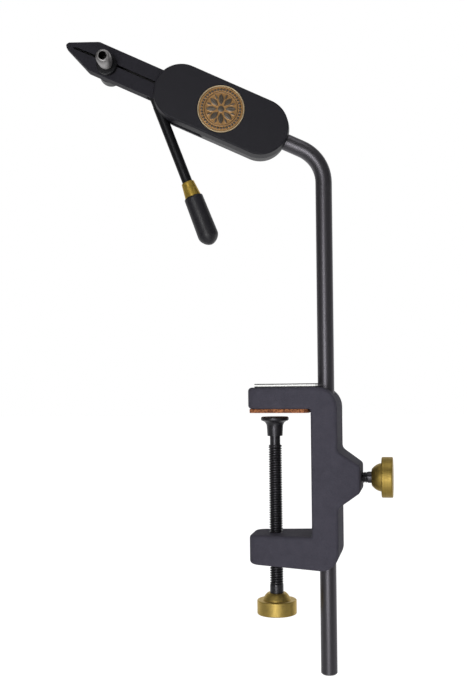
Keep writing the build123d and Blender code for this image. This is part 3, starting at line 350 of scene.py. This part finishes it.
class Graph:
    """Short ways to add nodes to a shader node tree; each gives back the new node's output."""

    def __init__(self, tree):
        self.nodes, self.links = tree.nodes, tree.links

    def feed(self, socket, value):
        """Links an output to a socket, or sets the socket to a constant."""
        if isinstance(value, bpy.types.NodeSocket):
            self.links.new(value, socket)
        else:
            socket.default_value = value

    def operate(self, kind, operation, values):
        node = self.nodes.new(kind)
        node.operation = operation
        for socket, value in zip(node.inputs, values):
            self.feed(socket, value)
        return node

    def math(self, operation, *values):
        """A number from numbers."""
        return self.operate("ShaderNodeMath", operation, values).outputs[0]

    def vector(self, operation, *values):
        """A vector from vectors."""
        return self.operate("ShaderNodeVectorMath", operation, values).outputs["Vector"]

    def measure(self, operation, *values):
        """A number from vectors."""
        return self.operate("ShaderNodeVectorMath", operation, values).outputs["Value"]

    def scaled(self, vector, factor):
        """A vector or colour times a number."""
        node = self.operate("ShaderNodeVectorMath", "SCALE", (vector,))
        self.feed(node.inputs["Scale"], factor)
        return node.outputs["Vector"]

    def split(self, vector):
        """The X, Y and Z of a vector, by name."""
        node = self.nodes.new("ShaderNodeSeparateXYZ")
        self.links.new(vector, node.inputs[0])
        return node.outputs

    def ranged(self, value, low, high, to_low, to_high):
        """A number that goes from to_low to to_high as value goes from low to high."""
        node = self.nodes.new("ShaderNodeMapRange")
        given = {"Value": value, "From Min": low, "From Max": high, "To Min": to_low, "To Max": to_high}
        for label, part in given.items():
            self.feed(node.inputs[label], part)
        return node.outputs["Result"]

    def noise(self, vector, scale, detail):
        node = self.nodes.new("ShaderNodeTexNoise")
        for label, part in {"Vector": vector, "Scale": scale, "Detail": detail}.items():
            self.feed(node.inputs[label], part)
        return node.outputs["Fac"]


# Most of a noise's values lie between these
NOISE_SPAN = (0.3, 0.7)


def value_group(name, *inputs):
    """An empty node group with a Vector and float inputs, and a Tone and a Height that come out of it."""
    group = bpy.data.node_groups.new(name, "ShaderNodeTree")
    group.interface.new_socket("Vector", in_out="INPUT", socket_type="NodeSocketVector")
    for label, default in inputs:
        socket = group.interface.new_socket(label, in_out="INPUT", socket_type="NodeSocketFloat")
        socket.default_value = default
    for label in ("Tone", "Height"):
        group.interface.new_socket(label, in_out="OUTPUT", socket_type="NodeSocketFloat")
    inlet, outlet = group.nodes.new("NodeGroupInput"), group.nodes.new("NodeGroupOutput")
    return group, Graph(group), inlet.outputs, outlet.inputs


def grain_group(name):
    """Fine mottling: two sizes of noise mixed into one tone, and the finer one as height."""
    group, graph, given, result = value_group(name, ("Scale", 1500.0), ("Low", 0.9), ("High", 1.1))
    fine = graph.noise(given["Vector"], given["Scale"], 3.0)
    broad = graph.noise(given["Vector"], graph.math("MULTIPLY", given["Scale"], 0.12), 2.0)
    half = graph.math("MULTIPLY", graph.math("ADD", fine, broad), 0.5)
    graph.feed(result["Tone"], graph.ranged(half, *NOISE_SPAN, given["Low"], given["High"]))
    graph.feed(result["Height"], fine)
    return group


def tool_mark_group(name):
    """Fine lines left by turning or drawing: noise on a vector that comes in squeezed along one way."""
    group, graph, given, result = value_group(name, ("Low", 0.85), ("High", 1.12))
    lines = graph.noise(given["Vector"], 1.0, 4.0)
    graph.feed(result["Tone"], graph.ranged(lines, *NOISE_SPAN, given["Low"], given["High"]))
    graph.feed(result["Height"], lines)
    return group


def shared(name, maker):
    """The named node group, made the first time that it is asked for."""
    return bpy.data.node_groups.get(name) or maker(name)


class Finish(Graph):
    """A material with its Principled BSDF and its Object coordinates."""

    def __init__(self, name, base, **sockets):
        self.material = bpy.data.materials.new(name)
        self.material.use_nodes = True
        super().__init__(self.material.node_tree)
        self.shader = self.nodes["Principled BSDF"]
        self.base = tuple(base)
        for label, value in {"Base_Color": (*base, 1.0), **sockets}.items():
            self.shader.inputs[label.replace("_", " ")].default_value = value
        self.coords = self.nodes.new("ShaderNodeTexCoord").outputs["Object"]

    def stretched(self, scale):
        """Object coordinates times a scale for each axis."""
        node = self.nodes.new("ShaderNodeMapping")
        node.inputs["Scale"].default_value = scale
        self.links.new(self.coords, node.inputs["Vector"])
        return node.outputs["Vector"]

    def place(self, group, vector, **values):
        """Tone and height of a shared group."""
        node = self.nodes.new("ShaderNodeGroup")
        node.node_tree = group
        self.links.new(vector, node.inputs["Vector"])
        for label, value in values.items():
            node.inputs[label].default_value = value
        return node.outputs["Tone"], node.outputs["Height"]

    def grain(self, scale, low, high):
        group = shared("surface_grain", grain_group)
        return self.place(group, self.coords, Scale=scale, Low=low, High=high)

    def marks(self, vector, low, high):
        return self.place(shared("tool_marks", tool_mark_group), vector, Low=low, High=high)

    def tint(self, tone, base=None):
        """Base colour, or another that changes over the surface, times a tone."""
        base = self.base if base is None else base
        self.feed(self.shader.inputs["Base Color"], self.scaled(base, tone))

    def blend(self, mask, first, second):
        """Colour between two colours by a mask."""
        mix = self.nodes.new("ShaderNodeMix")
        mix.data_type = "RGBA"
        mix.inputs["A"].default_value = (*first, 1.0)
        mix.inputs["B"].default_value = (*second, 1.0)
        self.links.new(mask, mix.inputs["Factor"])
        return mix.outputs["Result"]

    def rough(self, noise, low, high):
        self.feed(self.shader.inputs["Roughness"], self.ranged(noise, *NOISE_SPAN, low, high))

    def bump(self, height, millimetres):
        node = self.nodes.new("ShaderNodeBump")
        node.inputs["Distance"].default_value = millimetres * MM
        node.inputs["Strength"].default_value = 1.0
        self.links.new(height, node.inputs["Height"])
        self.links.new(node.outputs["Normal"], self.shader.inputs["Normal"])


def coated(name, base, scale, roughness, bump, tones, **sockets):
    """Paint, plating or oxide: mottled colour, roughness that follows it and a fine bump."""
    finish = Finish(name, base, Roughness=roughness, **sockets)
    tone, height = finish.grain(scale, *tones)
    finish.tint(tone)
    finish.rough(height, roughness - 0.06, roughness + 0.08)
    finish.bump(height, bump)
    return finish


def lathed(name, base, roughness, origin, axis, bore=None):
    """Turned metal: rings from a vector of (distance along the axis, distance from it), with light tarnish,
    and painted shade, near black, within the radius of a bore in millimetres."""
    finish = Finish(name, base, Metallic=0.9, Roughness=roughness)
    axis = tuple(axis)
    arm = finish.vector("SUBTRACT", finish.coords, tuple(origin))
    along = finish.measure("DOT_PRODUCT", arm, axis)
    reach = finish.measure("LENGTH", finish.vector("CROSS_PRODUCT", arm, axis))
    pair = finish.nodes.new("ShaderNodeCombineXYZ")
    finish.feed(pair.inputs["X"], along)
    finish.feed(pair.inputs["Y"], reach)
    marks, groove = finish.marks(finish.scaled(pair.outputs["Vector"], 2600.0), 0.86, 1.12)
    tarnish, height = finish.grain(700.0, 0.84, 1.1)
    tone = finish.math("MULTIPLY", marks, tarnish)
    # Painted shade inside the bore, down to near black
    if bore:
        tone = finish.math("MULTIPLY", tone, finish.ranged(reach, bore * MM, (bore + 0.1) * MM, 0.06, 1.0))
    finish.tint(tone)
    finish.rough(height, roughness - 0.06, roughness + 0.1)
    finish.bump(groove, 0.03)
    return finish


def drawn(name, base):
    """Plated rod: fine lines along Z."""
    finish = Finish(name, base, Metallic=0.85, Roughness=0.4)
    tone, height = finish.marks(finish.stretched((1800, 1800, 25)), 0.97, 1.03)
    finish.tint(tone)
    finish.rough(height, 0.38, 0.42)
    return finish


def jaw_steel_with_painted_slit_shade(name, base):
    """Blackened steel with painted shade in the slit: colour and sheen fall to black beside the head's axis,
    from about 5 mm behind the tips."""
    finish = Finish(name, base, Roughness=0.6, Specular_IOR_Level=0.1)

    def along(axis):
        reach = finish.measure("DOT_PRODUCT", finish.coords, tuple(axis))
        return finish.math("SUBTRACT", reach, float(STEM_CORNER @ axis))

    (near, far), (tip, behind) = np.array([SLIT_HALF, SLIT_END]) * MM
    beside = finish.ranged(finish.math("ABSOLUTE", along(HEAD_UP)), near, far, 1.0, 0.0)
    slit = finish.math("MULTIPLY", beside, finish.ranged(along(HEAD_BACK), tip, behind, 0.0, 1.0))
    tone, height = finish.grain(1700.0, 0.9, 1.1)
    # Painted shade in the slit: colour and sheen are taken to black there
    finish.tint(finish.math("MULTIPLY", finish.ranged(slit, 0.0, 1.0, 1.0, 0.0), tone))
    finish.feed(finish.shader.inputs["Metallic"], slit)
    finish.rough(height, 0.54, 0.68)
    finish.bump(height, 0.03)
    return finish


def layered(name, pale, dark):
    """Thin plate with a pale core, which glows a little as painted light, between a dark top face and a dark
    lower face.
    """
    finish = Finish(name, pale, Roughness=0.45, Emission_Strength=0.55)
    low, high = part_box("top_plate")
    rise = finish.split(finish.coords)["Z"]
    top = finish.ranged(rise, *(high[2] - inset * MM for inset in PLATE_TOP), 0.0, 1.0)
    foot = finish.ranged(rise, *(low[2] + inset * MM for inset in PLATE_FOOT), 0.0, 1.0)
    faces = finish.math("MAXIMUM", top, foot)
    tone, _ = finish.grain(800.0, 0.95, 1.03)
    finish.tint(tone, finish.blend(faces, pale, dark))
    # Painted light: the pale core glows, the dark faces do not
    finish.feed(finish.shader.inputs["Emission Color"], finish.blend(faces, pale, (0.0, 0.0, 0.0)))
    return finish


def antique(name, field, raised, edge):
    """Struck metal coloured by the mesh's own relief attribute: its field, its raised parts and its rim."""
    finish = Finish(name, field, Metallic=0.55, Roughness=0.42)
    level = finish.nodes.new("ShaderNodeAttribute")
    level.attribute_name = "relief"
    worn = finish.nodes.new("ShaderNodeValToRGB")
    first, last = worn.color_ramp.elements
    first.position, first.color = 0.12, (*field, 1.0)
    last.position, last.color = 0.97, (*edge, 1.0)
    for place in (0.5, 0.88):
        worn.color_ramp.elements.new(place).color = (*raised, 1.0)
    finish.feed(worn.inputs["Fac"], level.outputs["Fac"])
    tone, height = finish.grain(1300.0, 0.82, 1.15)
    finish.tint(tone, worn.outputs["Color"])
    finish.rough(height, 0.36, 0.5)
    return finish


def granular(name, light, dark):
    """Pressed cork: cells between two colours, with a bump from their edges."""
    finish = Finish(name, light, Roughness=0.82)
    cells = finish.nodes.new("ShaderNodeTexVoronoi")
    cells.inputs["Scale"].default_value = 1200.0
    finish.feed(cells.inputs["Vector"], finish.coords)
    tone, _ = finish.grain(1500.0, 0.7, 1.25)
    finish.tint(tone, finish.blend(finish.ranged(cells.outputs["Color"], 0.2, 0.75, 0.0, 1.0), dark, light))
    finish.bump(cells.outputs["Distance"], 0.3)
    return finish


def lit_floor(name, stage):
    """Floor that looks white to the camera and gives graded light: brighter behind the object, and in front
    a beam that widens with distance, with its edge where |x - 0.04| / |y| goes from 0.1 to 0.3."""
    paper = Finish(name, (0.3, 0.3, 0.3), Roughness=0.9, Emission_Color=(1, 1, 1, 1))
    spot = paper.split(paper.coords)
    behind = paper.ranged(spot["Y"], -0.2, 0.4, stage.dusk, stage.sky)
    ahead = paper.ranged(spot["Y"], -0.08, -0.16, stage.dusk, stage.front)
    slope = paper.math("DIVIDE", paper.math("SUBTRACT", spot["X"], 0.04), spot["Y"])
    beam = paper.ranged(paper.math("ABSOLUTE", slope), 0.1, 0.3, 1.0, 0.04)
    glow = paper.math("MAXIMUM", behind, paper.math("MULTIPLY", ahead, beam))
    seen = paper.nodes.new("ShaderNodeLightPath").outputs["Is Camera Ray"]
    paper.feed(paper.shader.inputs["Emission Strength"], paper.math("MAXIMUM", seen, glow))
    return paper


def white_surround(name, stage):
    """World that looks white to the camera and lights the object mostly from behind."""
    world = bpy.data.worlds.new(name)
    world.use_nodes = True
    graph = Graph(world.node_tree)
    heading = graph.split(graph.nodes.new("ShaderNodeTexCoord").outputs["Generated"])
    lit, plain = graph.nodes["Background"], graph.nodes.new("ShaderNodeBackground")
    for light in (lit, plain):
        light.inputs["Color"].default_value = (1, 1, 1, 1)
    graph.feed(lit.inputs["Strength"], graph.ranged(heading["Y"], 0.25, 0.9, stage.dusk, stage.sky))
    seen = graph.nodes.new("ShaderNodeLightPath").outputs["Is Camera Ray"]
    mix = graph.nodes.new("ShaderNodeMixShader")
    for socket, value in zip(mix.inputs, (seen, lit.outputs["Background"], plain.outputs["Background"])):
        graph.feed(socket, value)
    graph.feed(graph.nodes["World Output"].inputs["Surface"], mix.outputs["Shader"])
    return world


# Steps

class VISE_OT_finishes(bpy.types.Operator):
    """Paint, plating and plain metal of the pieces that keep their CAD shape"""

    bl_idname = "vise.finishes"
    bl_label = "Finishes"

    def execute(self, context):
        look = context.scene.vise_finishes
        coat = coated(
            "clamp powder coat", look.casting, scale=1500.0, roughness=0.7, bump=0.12, tones=(0.88, 1.14),
            Specular_IOR_Level=0.05,
        )
        casing = coated(
            "satin black casing", look.casing, scale=1900.0, roughness=0.5, bump=0.04, tones=(0.94, 1.06),
            Specular_IOR_Level=0.3,
        )
        oxide = coated(
            "black oxide", look.oxide, scale=1600.0, roughness=0.42, bump=0.03, tones=(0.86, 1.14),
            Metallic=0.5,
        )
        foot = coated(
            "oiled foot", look.thread, scale=1600.0, roughness=0.36, bump=0.02, tones=(0.9, 1.1),
            Metallic=0.7,
        )
        steel = coated(
            "bright steel", look.silver, scale=1400.0, roughness=0.34, bump=0.02, tones=(0.9, 1.08),
            Metallic=1.0,
        )
        nylon = coated("nylon", look.nylon, scale=900.0, roughness=0.5, bump=0.03, tones=(0.95, 1.05))
        give(coat, "clamp_frame")
        give(casing, "head_body", "front_cover")
        give(oxide, "lever_rod", "lever_cam", "post_collar", "post_nut", "cover_screws")
        give(foot, "clamp_foot")
        give(steel, "swivel_collar", "swivel_screw", "hinge_pin", "jaw_dowel", "cam_pin", "jaw_springs")
        give(steel, "foot_ring")
        give(nylon, "stem_liner", "lock_plug", "swivel_washer")
        give(jaw_steel_with_painted_slit_shade("black jaws with painted slit shade", look.jaw), "upper_jaw", "lower_jaw")
        give(drawn("dark stem plating", look.stem), "stem")
        give(layered("pale plate with dark faces", look.plate, look.oxide), "top_plate")
        post = lathed("silver post", look.silver, 0.45, head_point(*POST_AT, 0), HEAD_FRONT, POST_BORE)
        give(post, "accessory_post")
        ferrule = lathed("ferrule brass", look.ferrule, 0.42, head_point(*LEVER_AT, 0), LEVER_AXIS)
        give(ferrule, "lever_ferrule")
        # Painted light: the clamp knob gets the lighter brass
        give(lathed("clamp knob brass, painted light", look.clamp_brass_painted_light, 0.46, (0, 0, 0), -DOWN), "clamp_knob")
        give(lathed("lock knob brass", look.brass, 0.46, LOCK_AT, OUT), "lock_knob")
        return {"FINISHED"}


class VISE_OT_screws(bpy.types.Operator):
    """Clamp screw and lock screw with their cut threads"""

    bl_idname = "vise.screws"
    bl_label = "Threaded screws"

    def execute(self, context):
        look, size = context.scene.vise_finishes, context.scene.vise_sizes
        oiled = coated(
            "oiled screw thread", look.thread, scale=1600.0, roughness=0.3, bump=0.02, tones=(0.84, 1.16),
            Metallic=0.7,
        )
        depth = size.thread_depth / MM
        low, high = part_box("clamp_screw")
        start, end = -high[2] / MM, -low[2] / MM
        spans = [
            (start, NECK_END, NECK_R, False),
            (THREAD_START, THREAD_END, THREAD_R, True),
            (COLLAR_START, end, COLLAR_R, False),
        ]
        rings = threaded(spans, size.screw_pitch / MM, depth, np.zeros(3), DOWN, OUT)
        mesh = ring_mesh("clamp_screw_thread", rings, DOWN * start * MM, DOWN * end * MM)
        dress("clamp_screw_thread", mesh, "spindle", oiled, "clamp_screw")
        low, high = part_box("lock_screw")
        start, end = low[0] / MM, high[0] / MM
        spans = [
            (start, LOCK_THREAD_END, LOCK_THREAD_R, True),
            (LOCK_COLLAR_START, end, LOCK_COLLAR_R, False),
        ]
        rings = threaded(spans, size.lock_pitch / MM, LOCK_DEPTH_SHARE * depth, LOCK_AT, OUT, -DOWN)
        mesh = ring_mesh("lock_screw_thread", rings, LOCK_AT + OUT * start * MM, LOCK_AT + OUT * end * MM)
        dress("lock_screw_thread", mesh, "lock", oiled, "lock_screw")
        return {"FINISHED"}


class VISE_OT_medallion(bpy.types.Operator):
    """Struck bronze medallion with a rosette in a ring of beads"""

    bl_idname = "vise.medallion"
    bl_label = "Medallion"

    def execute(self, context):
        look, size = context.scene.vise_finishes, context.scene.vise_sizes
        # Face: rings out to the edge, each point raised over the field by the relief there
        reach = np.linspace(0.02, 1.0, MEDALLION_RINGS) * MEDALLION_R
        r, t = np.meshgrid(reach, full_turn(MEDALLION_STEPS), indexing="ij")
        height = struck_relief(r, t, MEDALLION_R, size.petals, size.beads)
        top = MEDALLION_FIELD + height * size.relief / MM
        back, up = MEDALLION_AT
        face = head_point(back + r * np.cos(t), up + r * np.sin(t), top)
        edge = [(MEDALLION_BACK, MEDALLION_R)]
        rear = turned(edge, head_point(back, up, 0), HEAD_FRONT, HEAD_BACK, MEDALLION_STEPS)
        centres = head_point(back, up, top[0].mean()), head_point(back, up, MEDALLION_BACK)
        mesh = ring_mesh("medallion_struck", np.concatenate([face, rear]), *centres)
        # The two centre points come last, the face's before the back's
        relief = mesh.attributes.new("relief", "FLOAT", "POINT")
        levels = np.concatenate([height.reshape(-1), np.ones(len(mesh.vertices) - height.size)])
        levels[-2] = height[0].mean()
        relief.data.foreach_set("value", levels.astype(np.float32))
        bronze = antique("antique bronze", look.bronze, look.patina, look.rim)
        dress("medallion_struck", mesh, "head", bronze, "medallion")
        return {"FINISHED"}


class VISE_OT_grip(bpy.types.Operator):
    """Dipped vinyl grip of the lever, with its slightly pointed end"""

    bl_idname = "vise.grip"
    bl_label = "Lever grip"

    def execute(self, context):
        look = context.scene.vise_finishes
        # Radius: a slow swell less a quarter-round lip at the mouth, times a dome (1 - x^1.8)^0.6 at the end
        s = GRIP_START + np.linspace(0.0, 1.0, GRIP_RINGS) * GRIP_LENGTH
        swell = GRIP_TOP_R + GRIP_SWELL * np.clip((s - GRIP_START) / GRIP_SWELL_LENGTH, 0, 1)
        lip = np.sqrt(np.clip(1 - (1 - np.clip((s - GRIP_START) / GRIP_LIP_LENGTH, 0, 1)) ** 2, 0, 1))
        dome = (1 - np.clip((s - GRIP_DOME_START) / GRIP_DOME_LENGTH, 0, 1) ** 1.8) ** 0.6
        radius = np.maximum((swell - GRIP_LIP_INSET * (1 - lip)) * dome, 0.15)
        mouth, end = GRIP_START + 0.05, GRIP_START + GRIP_LENGTH - 0.02
        profile = np.vstack([[mouth, GRIP_MOUTH_R], np.stack([s, radius], -1)])
        origin = head_point(*LEVER_AT, 0)
        rings = turned(profile, origin, LEVER_AXIS, LEVER_SIDE, GRIP_STEPS)
        centres = origin + LEVER_AXIS * mouth * MM, origin + LEVER_AXIS * end * MM
        mesh = ring_mesh("lever_grip_vinyl", rings, *centres)
        vinyl = coated(
            "dipped vinyl", look.vinyl, scale=260.0, roughness=0.5, bump=0.02, tones=(0.94, 1.06),
            Coat_Weight=0.18, Coat_Roughness=0.28,
        )
        dress("lever_grip_vinyl", mesh, "lever", vinyl, "lever_grip")
        return {"FINISHED"}


class VISE_OT_cork(bpy.types.Operator):
    """Cork pad with a ragged cut edge"""

    bl_idname = "vise.cork"
    bl_label = "Cork pad"

    def execute(self, context):
        look, size = context.scene.vise_finishes, context.scene.vise_sizes
        low, high = (np.array(corner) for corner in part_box("pad"))
        middle, half = (low + high) / 2, (high - low) / 2
        # Outline: a superellipse of a high power, which narrows towards the arm's tip
        t = full_turn(CORK_STEPS)
        outline = np.stack([np.cos(t), np.sin(t)], -1)
        outline = np.sign(outline) * np.abs(outline) ** (2.0 / CORK_POWER)
        # Rings out over the lower face, up the side and in over the upper face
        levels = np.array([-1, -1, -1, -0.75, -0.4, 0.0, 0.4, 0.75, 1, 1, 1])
        inset = np.array([0.55, 0.92, 0.985, 1, 1, 1, 1, 1, 0.985, 0.92, 0.55])
        # Ragged edge: noise with its fast waves taken off, inwards only and only between the faces
        wander = np.random.default_rng(7).normal(size=(len(levels), CORK_STEPS))
        waves = np.fft.fftfreq(CORK_STEPS) * CORK_STEPS
        keep = np.exp(-((waves / CORK_WAVES) ** 2))
        smooth = np.real(np.fft.ifft(np.fft.fft(wander, axis=1) * keep, axis=1))
        smooth = np.clip(smooth / np.abs(smooth).max() * 1.6, -1, 1)
        ragged = (smooth - 1.0) / 2 * size.cork_rag * (np.abs(levels) < 0.9)[:, None]
        outline[:, 1] *= 1.0 - size.cork_taper * (1.0 - outline[:, 0]) / 2
        ring = inset[:, None, None] * outline[None, :, :] * half[:2]
        ring += ragged[:, :, None] * outline[None, :, :]
        height = np.broadcast_to((levels * half[2])[:, None], ring.shape[:2])
        points = np.concatenate([middle[:2] + ring, (middle[2] + height)[..., None]], -1)
        mesh = ring_mesh("cork_pad", points, (*middle[:2], low[2]), (*middle[:2], high[2]))
        cork = granular("pressed cork", look.cork_light, look.cork_dark)
        dress("cork_pad", mesh, "clamp", cork, "pad")
        return {"FINISHED"}


class VISE_OT_stage(bpy.types.Operator):
    """Pale floor, soft studio light and the camera"""

    bl_idname = "vise.stage"
    bl_label = "Stage"

    def execute(self, context):
        scene, stage = context.scene, context.scene.vise_stage
        scene.view_settings.view_transform = "Standard"
        scene.world = white_surround("white surround", stage)
        self.lay_floor(scene, stage)
        self.hang_lights(scene, stage)
        self.set_camera(scene)
        return {"FINISHED"}

    def lay_floor(self, scene, stage, side=6.0):
        z = CAD_BOX[0][2] - stage.floor_drop
        mesh = bpy.data.meshes.new("floor")
        corners = [(-side, -side, z), (side, -side, z), (side, side, z), (-side, side, z)]
        mesh.from_pydata(corners, [], [(0, 1, 2, 3)])
        mesh.materials.append(lit_floor("pale floor", stage).material)
        floor = bpy.data.objects.new("floor", mesh)
        scene.collection.objects.link(floor)

    def hang_lights(self, scene, stage):
        aim = Vector((0.0, 0.0, 0.05))
        for name, place, wide, tall, power in (
            ("key", (-0.1, -0.88, -0.1), 0.24, 0.75, stage.key),
            ("top", (0.1, -0.25, 0.95), 0.7, 0.5, stage.fill),
        ):
            light = bpy.data.lights.new(name, "AREA")
            light.shape = "RECTANGLE"
            light.size = wide
            light.size_y = tall
            light.energy = power
            lamp = bpy.data.objects.new(name, light)
            lamp.location = place
            lamp.rotation_euler = (aim - Vector(place)).to_track_quat("-Z", "Y").to_euler()
            scene.collection.objects.link(lamp)

    def set_camera(self, scene):
        eye = bpy.data.cameras.new("camera")
        eye.sensor_fit = "VERTICAL"
        eye.sensor_height = 36.0
        eye.lens = FOCAL_LENGTH / PICTURE_HEIGHT * eye.sensor_height
        eye.shift_x = SHIFT_RIGHT / PICTURE_HEIGHT
        eye.shift_y = SHIFT_UP / PICTURE_HEIGHT
        eye.clip_start = 0.01
        eye.clip_end = 50.0
        camera = bpy.data.objects.new("camera", eye)
        up = Vector((0, 0, 1))
        ahead = Vector((-sin(TURN), cos(TURN), 0.0))
        basis = Matrix((ahead.cross(up), up, -ahead)).transposed().to_4x4()
        camera.matrix_world = Matrix.Translation(CAMERA_AT) @ basis @ Matrix.Rotation(CAMERA_ROLL, 4, "Z")
        scene.collection.objects.link(camera)
        scene.camera = camera


class VISE_PT_panel(bpy.types.Panel):
    """Sizes, colours and steps of the vise"""

    bl_idname = "VISE_PT_panel"
    bl_label = "Fly tying vise"
    bl_space_type = "VIEW_3D"
    bl_region_type = "UI"
    bl_category = "Vise"

    def draw(self, context):
        layout = self.layout
        for group in (context.scene.vise_finishes, context.scene.vise_sizes, context.scene.vise_stage):
            box = layout.box()
            for label in group.__annotations__:
                box.prop(group, label)
        for step in STEPS:
            layout.operator(step.bl_idname)


GROUPS = {"vise_finishes": ViseFinishes, "vise_sizes": ViseSizes, "vise_stage": ViseStage}
STEPS = (
    VISE_OT_finishes, VISE_OT_screws, VISE_OT_medallion, VISE_OT_grip, VISE_OT_cork, VISE_OT_stage,
)


def register():
    for cls in (*GROUPS.values(), *STEPS, VISE_PT_panel):
        bpy.utils.register_class(cls)
    for name, group in GROUPS.items():
        setattr(bpy.types.Scene, name, bpy.props.PointerProperty(type=group))


def unregister():
    for name in GROUPS:
        delattr(bpy.types.Scene, name)
    for cls in reversed((*GROUPS.values(), *STEPS, VISE_PT_panel)):
        bpy.utils.unregister_class(cls)


def main():
    register()
    for step in STEPS:
        module, action = step.bl_idname.split(".")
        getattr(getattr(bpy.ops, module), action)()


if __name__ == "__main__":
    main()
